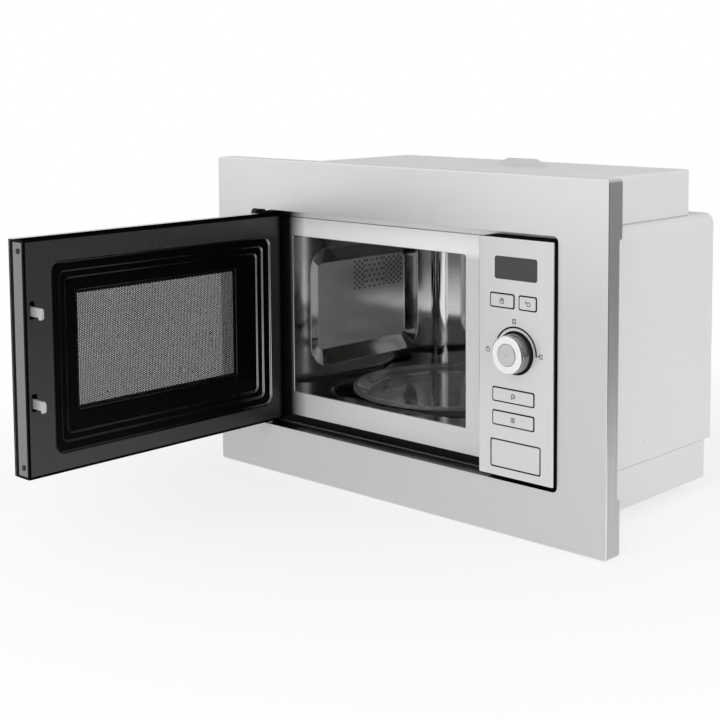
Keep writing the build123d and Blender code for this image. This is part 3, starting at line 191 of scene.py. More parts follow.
def place_piece(name, mesh, body, material, edge=0.0, steps=2, fold=30):
    """Puts a finished mesh on its body, with smooth faces that stay flat between small rounded edges."""
    mesh.materials.append(material)
    mesh.shade_smooth()
    mesh.set_sharp_from_angle(angle=math.radians(fold))
    piece = bpy.data.objects.new(name, mesh)
    bpy.context.scene.collection.objects.link(piece)
    if edge:
        rounding = piece.modifiers.new("rounded_edges", "BEVEL")
        rounding.width = edge * MM
        rounding.segments = steps
        rounding.limit_method = "ANGLE"
        rounding.angle_limit = math.radians(fold)
        rounding.use_clamp_overlap = False
    flat = piece.modifiers.new("flat_faces", "WEIGHTED_NORMAL")
    flat.keep_sharp = True
    flat.weight = 80
    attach(piece, body)
    return piece


def dressed(node, material, edge=0.0, steps=2, fold=30, worked_on=None):
    """The CAD piece itself with merged faces, small rounded edges and its finish."""
    plain = frame["nodes"][node]
    shape = bmesh.new()
    shape.from_mesh(plain.data)
    bmesh.ops.remove_doubles(shape, verts=shape.verts, dist=0.001 * MM)
    if worked_on:
        worked_on(shape)
    mesh = as_mesh(f"{node}_finished", shape)
    if "custom_normal" in mesh.attributes:
        mesh.attributes.remove(mesh.attributes["custom_normal"])
    piece = place_piece(mesh.name, mesh, plain["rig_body"], material, edge, steps, fold)
    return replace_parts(piece, node)


def second_finish(piece, material, where):
    """Gives the faces for which where(middle, normal) holds another finish."""
    piece.data.materials.append(material)
    for face in piece.data.polygons:
        if where(face.center, face.normal):
            face.material_index = len(piece.data.materials) - 1


def rounded(radius, look, along):
    """Rounds the edges of the faces that look that way, and gives them the second finish."""
    look = Vector(look)
    same_way, sideways = 0.999, 0.2

    def work(shape):
        flats = [face for face in shape.faces if face.normal.dot(look) > same_way]
        bmesh.ops.dissolve_limit(
            shape, angle_limit=math.radians(0.2), verts=list({vert for face in flats for vert in face.verts}),
            edges=list({edge for face in flats for edge in face.edges if all(
                side.normal.dot(look) > same_way for side in edge.link_faces)}))
        rim = []
        for edge in shape.edges:
            facing = sorted(side.normal.dot(look) for side in edge.link_faces)
            if len(facing) == 2 and facing[0] < sideways and facing[1] > same_way and along(
                    (edge.verts[0].co + edge.verts[1].co) / 2):
                rim.append(edge)
        made = bmesh.ops.bevel(shape, geom=rim, affect="EDGES", offset=radius * MM, offset_type="OFFSET",
                               segments=4, profile=0.5, material=-1)
        for face in made["faces"]:
            face.material_index = 1
    return work


def edged_in(node, material, edge_material, radius, look, along=lambda middle: True):
    """The CAD piece with its finish, and rounded edges of another finish."""
    piece = dressed(node, material, worked_on=rounded(radius, look, along))
    piece.data.materials.append(edge_material)
    return piece


def near_outline(middle, low, high, reach):
    """Whether a spot is that near to the outline of a box, seen from the front."""
    return min(middle.x - low.x, high.x - middle.x, middle.z - low.z, high.z - middle.z) < reach


lengthwise = (5, 900, 900)
upwards = (900, 900, 5)
forwards = (0, -1, 0)
face_half_width, face_bottom, face_top = 290 * MM, 20 * MM, 370 * MM
lip_half_width, lip_bottom, lip_top = 240 * MM, 55 * MM, 330 * MM
flange_width = 2.5 * MM
# The face's grey is painted paler towards the top, as painted light.
painted_light_from, painted_light_to = 250 * MM, 370 * MM
low_shades, high_shades = (0.59, 0.61), (0.705, 0.725)
brushed_steel, tree, shader, sheet = grained("brushed_steel", lengthwise, 0.5, (0.32, 0.38))
height = spread(tree, axes_of(tree)["Z"], painted_light_from, painted_light_to)
shades = [blended(tree, height, low, high) for low, high in zip(low_shades, high_shades)]
tree.links.new(blended(tree, sheet.outputs["Grain"], *shades), shader.inputs["Base Color"])
# Rounded edges get a brighter, polished steel: partly real polish, partly a painted highlight.
polished_highlight_edge = surface("polished_highlight_edge", (0.76, 0.80), (0.10, 0.14), 1.0, relief=0.01)
trim = edged_in("trim_frame", brushed_steel, polished_highlight_edge, 1.1, forwards, lambda middle: (
    abs(middle.x) > face_half_width or not face_bottom < middle.z < face_top))
# A darker copy of the steel on the frame's bent-back sides is painted shade.
shaded_side_steel = surface("shaded_side_steel", (0.48, 0.54), (0.3, 0.38), 0.8, upwards, 0.03)
trim_low, trim_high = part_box("trim_frame")
second_finish(trim, shaded_side_steel, lambda middle, normal: (
    abs(normal.y) < 0.1 and near_outline(middle, trim_low, trim_high, flange_width)))
# A darker steel on the lip round the opening is painted shade.
shaded_lip_steel = surface("shaded_lip_steel", (0.40, 0.46), (0.2, 0.26), 1.0, lengthwise, 0.02)
second_finish(trim, shaded_lip_steel, lambda middle, normal: (
    abs(normal.y) < 0.8 and abs(middle.x) < lip_half_width and lip_bottom < middle.z < lip_top))
zinc_plate = surface("zinc_plate", (0.50, 0.62), (0.35, 0.5), 0.6, (90, 90, 90))
dressed("trim_brackets", zinc_plate)

# --- Ducts, feet and pads ------------------------------------------------------
# The oven stands on a shallow duct of pale coated sheet, on four spacers, and
# a second duct with a hanging tab lies over it; the tab's sides get darker
# steel as painted shade. Rubber pads part the sheets.
pale_sheet = surface("pale_coated_sheet", (0.675, 0.69), (0.42, 0.5), 0.1, (60, 60, 60), 0.02, 0.3)
dressed("base_duct", pale_sheet)
tab_height = 7 * MM
# The tab's sides get the same darker steel, as painted shade.
second_finish(dressed("upper_duct", pale_sheet), shaded_side_steel, lambda middle, normal: (
    middle.z > trim_high.z - tab_height and abs(normal.y) < 0.5 and abs(normal.z) < 0.999))
foot_rubber = surface("foot_rubber", (0.030, 0.045), (0.6, 0.75), 0.0, (500, 500, 500), 0.3, 0.3)
for node in ("spacer_feet", "oven_pads"):
    dressed(node, foot_rubber, 0.5)

# --- Casing, back and underside ---------------------------------------------
# The oven's wrapper is one bent sheet with the same pale coat, screwed to a
# galvanised back panel and base plate. The base's front edge is black, as
# painted shade, and the gland of the mains lead is moulded.
hem_drop = 2.1 * MM
shaded_front_depth = 1.5 * MM


def hemmed(shape):
    """Lets the wrapper's side sheets hang down to just over the duct."""
    lowest = min(vert.co.z for vert in shape.verts)
    hem = [vert for vert in shape.verts if vert.co.z < lowest + 0.1 * MM]
    bmesh.ops.translate(shape, verts=hem, vec=(0, 0, -hem_drop))


casing = dressed("casing", pale_sheet, worked_on=hemmed)
galvanised = surface("galvanised_sheet", (0.46, 0.60), (0.32, 0.48), 0.8, (70, 70, 70), 0.05)
dressed("back_panel", galvanised)
# A flat black used as painted shade: base front, vent holes, casing inside and fascia cut-outs.
painted_shade_black = surface("painted_shade_black", (0.003, 0.006), (0.3, 0.42), 0.0, (300, 300, 300), 0.05, 0.12)
base = dressed("base_plate", galvanised)
base_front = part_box("base_plate")[0].y
# The base's front edge is black as painted shade.
second_finish(base, painted_shade_black, lambda middle, normal: middle.y < base_front + shaded_front_depth)
screw_zinc = surface("screw_zinc", (0.45, 0.60), (0.25, 0.35), 1.0, (900, 900, 900), 0.1)
dressed("casing_screws", screw_zinc, 0.2)
black_moulding = surface("black_moulding", (0.010, 0.016), (0.42, 0.55), 0.0, (700, 700, 700), 0.15, 0.35)
dressed("inlet_gland", black_moulding, 0.3)

# --- Front plate and cooking space ------------------------------------------
# A brushed plate closes the front; it is painted black beside the hinges as
# shade and paler at its top as light. The drawn stainless box behind it has a
# pressed side wall, whose bends are drawn as bright flat outlines, a painted
# highlight. Its slopes and floor get darker steel as painted shade and its
# field paler steel as painted light, and a black sheet behind that wall's vent
# holes and the holes' walls are painted shade that keeps them dark.
mouth_low, mouth_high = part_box("cavity")
shade_start, shade_end = mouth_low.x + 2 * MM, mouth_low.x + 30 * MM
light_start, light_end = mouth_high.z - 6 * MM, mouth_high.z + 2 * MM
face_steel, tree, shader, sheet = grained("face_steel", lengthwise, 0.2, (0.42, 0.5))
axes = axes_of(tree)
steel = blended(tree, sheet.outputs["Grain"], 0.69, 0.71)
# The grey is painted paler near the plate's top as light, and black towards the hinge side as shade.
steel = blended(tree, spread(tree, axes["Z"], light_start, light_end), steel, 0.96)
steel = blended(tree, spread(tree, axes["X"], shade_start, shade_end), 0.004, steel)
tree.links.new(steel, shader.inputs["Base Color"])
edged_in("front_plate", face_steel, polished_highlight_edge, 0.6, forwards, lambda middle: (
    mouth_low.x < middle.x < mouth_high.x and middle.z > mouth_low.z))
plate_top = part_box("front_plate")[1].z
casing_lip = 2 * MM
second_finish(casing, face_steel, lambda middle, normal: (
    normal.y < -0.9 and middle.z > plate_top and middle.y < mouth_low.y + casing_lip))


def flat_bar(shape, width, height, spot=(0, 0), turn=0.0):
    """A flat bar, facing up, and its corners."""
    added = bmesh.ops.create_grid(shape, x_segments=1, y_segments=1, size=0.5)["verts"]
    bmesh.ops.scale(shape, verts=added, vec=(width * MM, height * MM, 1))
    bmesh.ops.rotate(shape, verts=added, matrix=Matrix.Rotation(turn, 3, "Z"))
    bmesh.ops.translate(shape, verts=added, vec=(spot[0] * MM, spot[1] * MM, 0))
    return added


def flat_box(shape, width, height, line, spot=(0, 0), corner=0.0):
    """A flat box or, if it has a line width, its outline, with round corners if it has a corner radius."""
    corners = flat_bar(shape, width, height, spot)
    if corner:
        corners = bmesh.ops.bevel(shape, geom=corners, affect="VERTICES", offset=corner * MM, segments=5,
                                  offset_type="OFFSET", profile=0.5, material=-1)["verts"]
    box = max({face for vert in corners for face in vert.link_faces}, key=lambda face: face.calc_area())
    if line:
        bmesh.ops.inset_region(shape, faces=[box], thickness=line * MM, use_even_offset=True,
                               use_boundary=True)
        bmesh.ops.delete(shape, geom=[box], context="FACES")


def upright_sheet(name, shape, thickness, turn, spot):
    """A mesh of flat faces that are given a thickness, turned upright and moved to their spot."""
    bmesh.ops.recalc_face_normals(shape, faces=shape.faces)
    bmesh.ops.solidify(shape, geom=shape.faces[:], thickness=thickness)
    bmesh.ops.transform(shape, verts=shape.verts, matrix=turn)
    bmesh.ops.translate(shape, verts=shape.verts, vec=Vector(spot))
    return as_mesh(name, shape)


def on_wall(name, size, line, corner, spot, material):
    """A box or its outline, flat on a wall that looks right."""
    shape = bmesh.new()
    flat_box(shape, *size, line, corner=corner)
    mesh = upright_sheet(name, shape, wall_line_thickness, facing_right, spot)
    place_piece(name, mesh, "chassis", material, 0.24, 3)


facing_right = Matrix(((0, 0, 1, 0), (1, 0, 0, 0), (0, 1, 0, 0), (0, 0, 0, 1)))
inwards = (500, 12, 500)
slope_top = mouth_low.x + 7.6 * MM
field_top = mouth_low.x + 2 * MM
hole_end = mouth_low.x + MM
bright_steel = surface("bright_steel", (0.70, 0.76), (0.05, 0.09), 1.0, inwards)
cavity = dressed("cavity", bright_steel, fold=14)
# A darker copy of the cavity steel on the press slopes is painted shade.
shaded_slope_steel = surface("shaded_slope_steel", (0.26, 0.32), (0.05, 0.09), 1.0, inwards)
second_finish(cavity, shaded_slope_steel, lambda middle, normal: 0.1 < normal.x < 0.98 and middle.x < slope_top)
# The vent holes' walls are black, as painted shade.
second_finish(cavity, painted_shade_black, lambda middle, normal: abs(normal.x) < 0.5 and middle.x < hole_end)
panel_middle = Vector((0, mouth_low.y + 128.5 * MM, mouth_low.z + 117.3 * MM))
rim_size, rim_corner, rim_x = (201, 151), 28, slope_top + 0.45 * MM
field_size, field_corner, field_x = (162, 112), 8.5, mouth_low.x + 1.1 * MM
shade_size, shade_spot = (120, 60), (mouth_low.x - 1.2 * MM, 20 * MM, 30 * MM)
painted_highlight_width = 1.1
wall_line_thickness = 0.5 * MM
# Bright flat outlines on the wall are painted highlights of its pressed bends.
on_wall("press_rim", rim_size, painted_highlight_width, rim_corner, panel_middle + Vector((rim_x, 0, 0)), polished_highlight_edge)
on_wall("press_field_rim", field_size, painted_highlight_width, field_corner, panel_middle + Vector((field_x, 0, 0)),
        polished_highlight_edge)
# A black sheet behind the vent holes is painted shade.
on_wall("vent_painted_shade", shade_size, 0, 0, panel_middle + Vector(shade_spot), painted_shade_black)
# A paler, less metallic copy of the cavity steel on the pressed field is painted light.
lit_field_steel = surface("lit_field_steel", (0.78, 0.84), (0.08, 0.12), 0.66, inwards)
second_finish(cavity, lit_field_steel, lambda middle, normal: normal.x > 0.98 and middle.x < field_top)
# A darker copy of the cavity steel on its floor is a painted dark reflection.
shaded_floor_steel = surface("shaded_floor_steel", (0.16, 0.20), (0.08, 0.12), 1.0, inwards)
second_finish(cavity, shaded_floor_steel, lambda middle, normal: normal.z > 0.9)
# The casing's inside faces behind the cavity wall are black as painted shade.
second_finish(casing, painted_shade_black, lambda middle, normal: normal.x > 0.9 and middle.x < mouth_low.x)

# --- Turntable ----------------------------------------------------------------
# A pressed glass plate lies on a ring with three rollers and is turned by a
# three-armed coupler on the motor's shaft. Ring and coupler are grey plastic.
def glass(name, shade, polish, through=1.0):
    """Clear or smoky glass, a little cloudier where it is handled."""
    material, tree, shader, sheet = grained(name, (60, 60, 60))
    shader.inputs["Transmission Weight"].default_value = through
    shader.inputs["IOR"].default_value = 1.45
    shader.inputs["Roughness"].default_value = polish
    tree.links.new(blended(tree, sheet.outputs["Handling"], 0.96 * shade, shade), shader.inputs["Base Color"])
    return material


plate_glass = glass("plate_glass", 0.40, 0.08, 0.75)
dressed("turntable_plate", plate_glass)
grey_plastic = surface("grey_plastic", (0.20, 0.24), (0.35, 0.5), 0.0, (600, 600, 600), 0.1)
for node in ("roller_ring", "roller_1", "roller_2", "roller_3", "turntable_coupler"):
    dressed(node, grey_plastic, 0.3)
dressed("turntable_motor", zinc_plate, 0.3)

# --- Power supply, waveguide, fan and lamp ---------------------------------------
# Behind the panel: transformer of stacked iron and copper, capacitor, magnetron
# on its guide, and the fan in its shroud. Most pieces are plated or plain sheet.
core_iron = surface("core_iron", (0.10, 0.22), (0.4, 0.5), 0.7, (20, 1500, 20), 0.3)
copper_wire = surface("copper_wire", (0.30, 0.70), (0.25, 0.4), 1.0, (30, 30, 1200), 0.5,
                      tint=(0.95, 0.52, 0.30))
board_green = surface("board_laminate", (0.12, 0.17), (0.3, 0.45), 0.0, (300, 300, 300), 0.1,
                      tint=(0.35, 1.0, 0.45))
mica_sheet = surface("mica_sheet", (0.45, 0.66), (0.3, 0.5), 0.0, (40, 260, 260), 0.2,
                     tint=(1.0, 0.93, 0.80))
lamp_glass = surface("lamp_glass", (0.75, 0.82), (0.1, 0.2), 0.0, (100, 100, 100), 0.0,
                     tint=(1.0, 0.97, 0.88))
for node, material in {
    "waveguide": galvanised, "mica_cover": mica_sheet, "magnetron": zinc_plate,
    "transformer_core": core_iron, "transformer_windings": copper_wire, "capacitor": galvanised,
    "fan_shroud": galvanised, "fan_motor": core_iron, "fan_blade": black_moulding,
    "cavity_lamp": lamp_glass, "filter_board": board_green,
}.items():
    dressed(node, material, 0.2)

# --- Control panel -----------------------------------------------------------
# A black moulded housing carries the brushed fascia, with a display window,
# keys, a turned knob with a start button in it, and the door release button.
# Marks are printed in dark ink: an arc round the knob and plain pictograms.
# The same ink rings each key as painted shade of its gap.
dull_black = surface("dull_black", (0.004, 0.007), (0.6, 0.7), 0.0, (700, 700, 700), 0.1, 0.04)
dressed("panel_housing", dull_black, 0.3)
panel_steel = surface("panel_steel", (0.67, 0.69), (0.32, 0.38), 0.5, upwards, 0.02)
fascia_low, fascia_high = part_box("panel_fascia")
rolled_width = 4 * MM
fascia = edged_in("panel_fascia", panel_steel, polished_highlight_edge, 0.7, forwards, lambda middle: (
    near_outline(middle, fascia_low, fascia_high, rolled_width)))
# The walls of the fascia's cut-outs are black as painted shade.
second_finish(fascia, painted_shade_black, lambda middle, normal: (
    abs(normal.y) < 0.8 and not near_outline(middle, fascia_low, fascia_high, MM)))
display_film = surface("display_film", (0.050, 0.056), (0.28, 0.36), 0.0, (400, 400, 400), 0.02, 0.3)
dressed("display_window", display_film, 0.15)
dressed("control_board", board_green, 0.2)
dressed("latch_switches", black_moulding, 0.2)
for node in ("encoder", "encoder_shaft"):
    dressed(node, zinc_plate, 0.15)
key_steel = surface("key_steel", (0.66, 0.69), (0.34, 0.4), 0.5, lengthwise, 0.02)
# Behind its steel front each key is black, as painted shade in its gap.
steel_depth = 0.5 * MM
keys = ("key_upper_left", "key_upper_right", "key_middle", "key_lower")
for node in (*keys, "release_button"):
    steel_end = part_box(node)[0].y + steel_depth
    second_finish(dressed(node, key_steel, 0.45, 3), dull_black, lambda middle, normal: middle.y > steel_end)
turned_steel = surface("turned_steel", (0.86, 0.92), (0.2, 0.26), 1.0, (200, 2500, 200), 0.02)
# The knob's rear band is black, painted shade where it meets the fascia.
rear_shade_depth = 4.5 * MM
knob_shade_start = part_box("knob")[1].y - rear_shade_depth
knob = dressed("knob", turned_steel, 0.3, 3)
# A darker copy of the turned steel on the knob's side is painted shade.
shaded_turned_side = surface("shaded_turned_side", (0.26, 0.34), (0.14, 0.22), 1.0, (200, 2500, 200), 0.02)
second_finish(knob, shaded_turned_side, lambda middle, normal: abs(normal.y) < 0.5)
second_finish(knob, black_moulding, lambda middle, normal: middle.y > knob_shade_start)
satin_steel = surface("satin_steel", (0.60, 0.64), (0.36, 0.42), 0.8, (6, 900, 900), 0.03)
dressed("start_button", satin_steel, 0.3, 3)

ink = surface("printed_ink", (0.008, 0.012), (0.5, 0.6), 0.0, (900, 900, 900), 0.0, 0.1)
film = 0.06 * MM
facing_front = Matrix.Rotation(math.pi / 2, 4, "X")


def flat_ring(shape, radius, width, spot):
    """A flat band round a circle, facing up."""
    start = len(shape.verts)
    for size in (radius - width / 2, radius + width / 2):
        bmesh.ops.create_circle(shape, segments=20, radius=size * MM)
    shape.verts.ensure_lookup_table()
    added = shape.verts[start:]
    bmesh.ops.bridge_loops(shape, edges=list({edge for vert in added for edge in vert.link_edges}))
    bmesh.ops.translate(shape, verts=added, vec=(spot[0] * MM, spot[1] * MM, 0))


def printed(name, shape, centre, front, body, material):
    """Lays flat marks on a face that looks forwards, as a film of ink."""
    mesh = upright_sheet(name, shape, film, facing_front, (centre[0], front, centre[1]))
    place_piece(name, mesh, body, material)


def centre_of(node):
    """Middle of a piece seen from the front."""
    low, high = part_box(node)
    return (low.x + high.x) / 2, (low.z + high.z) / 2


knob_x, knob_z = centre_of("knob")
fascia_front = fascia_low.y
key_flange = 1.8
# Dark ink rings round the keys are painted shade of their gaps.
gap_shade_offset, gap_shade_width, gap_shade_corner = 1.5, 1.1, 2.4
painted_gap_shade = bmesh.new()
for node in (*keys, "release_button"):
    low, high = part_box(node)
    middle = centre_of(node)
    past = 2 * gap_shade_offset - (0 if node == "release_button" else 2 * key_flange)
    flat_box(painted_gap_shade, (high.x - low.x) / MM + past, (high.z - low.z) / MM + past, gap_shade_width,
             ((middle[0] - knob_x) / MM, (middle[1] - knob_z) / MM), gap_shade_corner)
printed("key_painted_gap_shade", painted_gap_shade, (knob_x, knob_z), fascia_front - film, "chassis", ink)
arc_inside, arc_outside, arc_height, arc_turn = 26.3, 28.2, -1.0, 155
dial = bmesh.new()
begin = dial.verts.new((arc_inside * MM, arc_height * MM, 0))
end = dial.verts.new((arc_outside * MM, arc_height * MM, 0))
line = dial.edges.new((begin, end))
bmesh.ops.spin(dial, geom=[begin, end, line], cent=(0, 0, 0), axis=(0, 0, 1), angle=math.radians(arc_turn),
               steps=60)
flat_bar(dial, 3.4, 1.0, (30.2, 0.2), 0.35)
printed("dial_arc", dial, (knob_x, knob_z), fascia_front - film, "chassis", ink)
stroke, thick_stroke = 0.7, 0.8
marks = bmesh.new()
flat_box(marks, 4.6, 5.4, stroke, (-2.0, 33.2))
for height in (34.1, 32.3):
    flat_bar(marks, 2.0, stroke, (-2.0, height))
flat_box(marks, 4.4, 4.2, stroke, (-37.2, -0.8))
flat_bar(marks, 3.2, stroke, (-37.2, 2.4))
flat_box(marks, 3.6, 4.8, thick_stroke, (33.4, 0.2))
printed("dial_marks", marks, (knob_x, knob_z), fascia_front - film, "chassis", ink)
key_marks = {key: bmesh.new() for key in keys}
flat_box(key_marks["key_upper_left"], 5.4, 3.4, stroke, (0, -1.4))
flat_bar(key_marks["key_upper_left"], 3.2, stroke, (0, 2.4))
flat_bar(key_marks["key_upper_left"], 5.4, stroke, (0, 1.2))
flat_ring(key_marks["key_upper_right"], 2.2, thick_stroke, (1.4, -0.8))
flat_bar(key_marks["key_upper_right"], 1.6, 1.6, (-2.2, 1.2), math.pi / 4)
flat_ring(key_marks["key_middle"], 2.3, thick_stroke, (0.4, 0.4))
flat_bar(key_marks["key_middle"], 2.6, thick_stroke, (-1.6, -2.0), math.pi / 4)
flat_bar(key_marks["key_middle"], 2.2, thick_stroke, (0.9, 0.4))
flat_box(key_marks["key_lower"], 5.0, 5.0, stroke)
flat_bar(key_marks["key_lower"], 1.6, 2.2)
for key, shape in key_marks.items():
    printed(f"{key}_mark", shape, centre_of(key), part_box(key)[0].y - film, key, ink)
start_mark = bmesh.new()
for place in (-1.0, 0.0, 1.0):
    flat_bar(start_mark, 0.5, 2.4, (place, 0))
start_ink = surface("start_ink", (0.40, 0.44), (0.5, 0.6), 0.2, (900, 900, 900))
printed("start_mark", start_mark, (knob_x, knob_z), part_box("start_button")[0].y - film, "start", start_ink)

# --- Latch ------------------------------------------------------------------------
# A moulded board behind the front plate holds two switches and the lever that
# lifts the hooks when the release button is pressed.
for node in ("latch_board", "latch_lever"):
    dressed(node, black_moulding, 0.3)

# --- Door -------------------------------------------------------------------------
# A steel skin with a dark glass window covers a black moulded core. Inside, a
# pan with bare metal sides and an enamelled face, both fading to black at their
# outline as painted shade, carries the perforated screen under a clear film,
# and a glossy black cover with two ledges is clipped in round it, its rounded
# edges a metallic painted highlight that is brighter towards the hinge.
def inside_edge(tree, low, high, axes, start, full):
    """Nought at a box's outline and one from some way inside it, across those axes."""
    spots = axes_of(tree)
    nearest = 1.0
    for axis in axes:
        spot = spots[axis]
        for gap in (worked(tree, "SUBTRACT", spot, low["XYZ".index(axis)]),
                    worked(tree, "SUBTRACT", high["XYZ".index(axis)], spot)):
            nearest = worked(tree, "MINIMUM", gap, nearest)
    return spread(tree, nearest, start * MM, full * MM)


def dark_edged(material, low, high, axes, start, full):
    """Fades the material's colour and shine to black at a box's outline, as painted shade."""
    tree = material.node_tree
    base = tree.nodes["Principled BSDF"].inputs["Base Color"]
    colour = base.links[0].from_socket
    inside = inside_edge(tree, low, high, axes, start, full)
    tree.links.new(blended(tree, inside, 0.002, colour), base)
    shine = tree.nodes["Principled BSDF"].inputs["Specular IOR Level"]
    tree.links.new(worked(tree, "MULTIPLY", inside, shine.default_value), shine)
    return material


for node in ("hinge_top", "hinge_bottom"):
    dressed(node, dull_black, 0.3)
# The skin shares the frame's steel, painted paler towards the top as light.
skin = dressed("door_skin", brushed_steel, 0.4)
skin_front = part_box("door_skin")[0].y
second_finish(skin, dull_black, lambda middle, normal: normal.y < -0.9 and middle.y < skin_front + MM)
tinted_glass = glass("tinted_glass", 0.94, 0.0)
dressed("door_glass", tinted_glass)
core = dressed("door_core", dull_black, 0.3)
fold_width, fold_fade = 13 * MM, 0.4 * MM
folded_skin, tree, shader, sheet = grained("folded_skin", lengthwise, 0.0, (0.36, 0.44))
fold_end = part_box("door_skin")[0].x + fold_width
covered = spread(tree, axes_of(tree)["X"], fold_end, fold_end + fold_fade)
tree.links.new(blended(tree, covered, 0.66, 0.003), shader.inputs["Base Color"])
second_finish(core, folded_skin, lambda middle, normal: normal.z > 0.9)
pan_low, pan_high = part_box("door_pan")
pan_rim = 0.6 * MM
face_fade, side_fade = (2.4, 3.0), (2.6, 3.2)
pan_enamel = surface("pan_enamel", (0.016, 0.022), (0.26, 0.34), 0.0, (500, 500, 500), 0.05, 0.5)
# The pan's face and sides fade to black at their outline, as painted shade of its rounded rim.
pan = dressed("door_pan", dark_edged(pan_enamel, pan_low, pan_high, "YZ", *face_fade))
pan_sides = surface("pan_sides", (0.19, 0.23), (0.3, 0.38), 0.5, (700, 700, 6), 0.03)
beyond = pan_low - Vector((1, 0, 0))
second_finish(pan, dark_edged(pan_sides, beyond, pan_high, "XZ", *side_fade), lambda middle, normal: (
    normal.y < -0.9 and middle.y < pan_low.y + pan_rim))
cover_black = surface("cover_black", (0.001, 0.002), (0.2, 0.3), 0.0, (200, 200, 200), 0.02, 0.03)
# The cover's rounded edges get a metallic finish as a painted highlight, brighter towards the hinge.
cover_painted_highlight, tree, shader, sheet = grained("cover_painted_highlight", (200, 200, 200), 1.0, (0.12, 0.18))
highlight_start, highlight_end = pan_high.y - 70 * MM, pan_high.y - 20 * MM
highlight_toward_hinge = spread(tree, axes_of(tree)["Y"], highlight_start, highlight_end)
tree.links.new(blended(tree, highlight_toward_hinge, 0.05, 0.55), shader.inputs["Base Color"])
edged_in("choke_cover", cover_black, cover_painted_highlight, 0.9, (1, 0, 0))
clear_film, tree, shader, sheet = grained("clear_film", (60, 60, 60), 0.0, (0.1, 0.2))
shader.inputs["Specular IOR Level"].default_value = 0.3
tree.links.new(blended(tree, sheet.outputs["Grain"], 0.01, 0.02), shader.inputs["Base Color"])
tree.links.new(spread(tree, sheet.outputs["Handling"], 0, 1, 0.05, 0.09), shader.inputs["Alpha"])
dressed("inner_window", clear_film)
yoke_zinc = surface("yoke_zinc", (0.48, 0.56), (0.3, 0.42), 0.5, (600, 600, 600), 0.1)
dressed("latch_hooks", yoke_zinc, 0.3)
spring_steel = surface("spring_steel", (0.40, 0.55), (0.2, 0.3), 1.0, (900, 900, 900), 0.1)
dressed("hook_spring", spring_steel)
dark_screw = surface("dark_screw", (0.02, 0.04), (0.3, 0.4), 0.8, (900, 900, 900), 0.1)
dressed("door_screws", dark_screw, 0.2)

# --- Perforated screen -----------------------------------------------------------
# A thin black sheet full of punched holes, behind the clear film, keeps the
# microwaves in and lets light through. Its border is plain.
low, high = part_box("mesh_screen")
sheet_thickness = 0.25 * MM
hole_pitch = 2.5 * MM
hole_radius = 0.66 * MM
columns, rows = 102, 50
step_across = hole_pitch * math.sqrt(3) / 2
border_overlap = 1.4 * MM
border_lift = 0.05 * MM
screen_middle = (low.x + high.x - sheet_thickness) / 2, (low.y + high.y) / 2, (low.z + high.z) / 2


def repeated(shape, one, count, step):
    """Makes one into a row of count, each a step from the last."""
    for place in range(1, count):
        copy = bmesh.ops.duplicate(shape, geom=one)["geom"]
        bmesh.ops.translate(shape, verts=[item for item in copy if isinstance(item, bmesh.types.BMVert)],
                            vec=Vector(step) * place)


screen = bmesh.new()
for place, count in ((0, rows), (1, rows + 1)):
    corners = []
    for size in (hole_pitch / math.sqrt(3), hole_radius):
        corners += bmesh.ops.create_circle(screen, segments=6, radius=size)["verts"]
    loops = list({edge for vert in corners for edge in vert.link_edges})
    faces = bmesh.ops.bridge_loops(screen, edges=loops)["faces"]
    edges = {edge for face in faces for edge in face.edges}
    bmesh.ops.translate(screen, verts=corners, vec=(
        (place - (columns - 1) / 2) * step_across, -(count - 1) / 2 * hole_pitch, 0))
    repeated(screen, [*corners, *edges, *faces], count, (0, hole_pitch, 0))
repeated(screen, screen.verts[:] + screen.edges[:] + screen.faces[:], columns // 2, (2 * step_across, 0, 0))
bmesh.ops.remove_doubles(screen, verts=screen.verts, dist=0.02 * MM)
screen_mesh = upright_sheet("perforated_screen", screen, sheet_thickness, facing_right, screen_middle)
edging = bmesh.new()
opening = (columns - 1) * step_across + border_overlap, (rows - 0.5) * hole_pitch
for width, height in ((high.y - low.y, high.z - low.z), opening):
    flat_bar(edging, width / MM, height / MM)
bmesh.ops.delete(edging, geom=edging.faces[:], context="FACES_ONLY")
bmesh.ops.bridge_loops(edging, edges=edging.edges[:])
bmesh.ops.translate(edging, verts=edging.verts, vec=(0, 0, border_lift))
edging_mesh = upright_sheet("screen_border", edging, sheet_thickness, facing_right, screen_middle)
screen_black = surface("screen_black", (0.002, 0.004), (0.35, 0.5), 0.0, (700, 700, 700), 0.1, 0.1)
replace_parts(place_piece("perforated_screen", screen_mesh, "door", screen_black), "mesh_screen")
place_piece("screen_border", edging_mesh, "door", screen_black)

# --- Floor, light and camera ----------------------------------------------------
# A pale floor runs into a white surround. Three wide lamps give soft light from
# the front, the side and above, and a grey flag is mirrored on the right.
def seen_directly(tree):
    """One for rays from the camera or off or through a smooth surface, and the glossy share alone."""
    path = tree.nodes.new("ShaderNodeLightPath")
    straight = worked(tree, "MAXIMUM", path.outputs["Is Camera Ray"], path.outputs["Is Transmission Ray"])
    return worked(tree, "MAXIMUM", straight, path.outputs["Is Glossy Ray"]), path.outputs["Is Glossy Ray"]


def mixed_into(end, tree, share, first, second):
    """Feeds a mix of two shaders into the end of a tree."""
    step = tree.nodes.new("ShaderNodeMixShader")
    tree.links.new(share, step.inputs["Fac"])
    tree.links.new(first, step.inputs[1])
    tree.links.new(second, step.inputs[2])
    tree.links.new(step.outputs["Shader"], tree.nodes[end].inputs["Surface"])


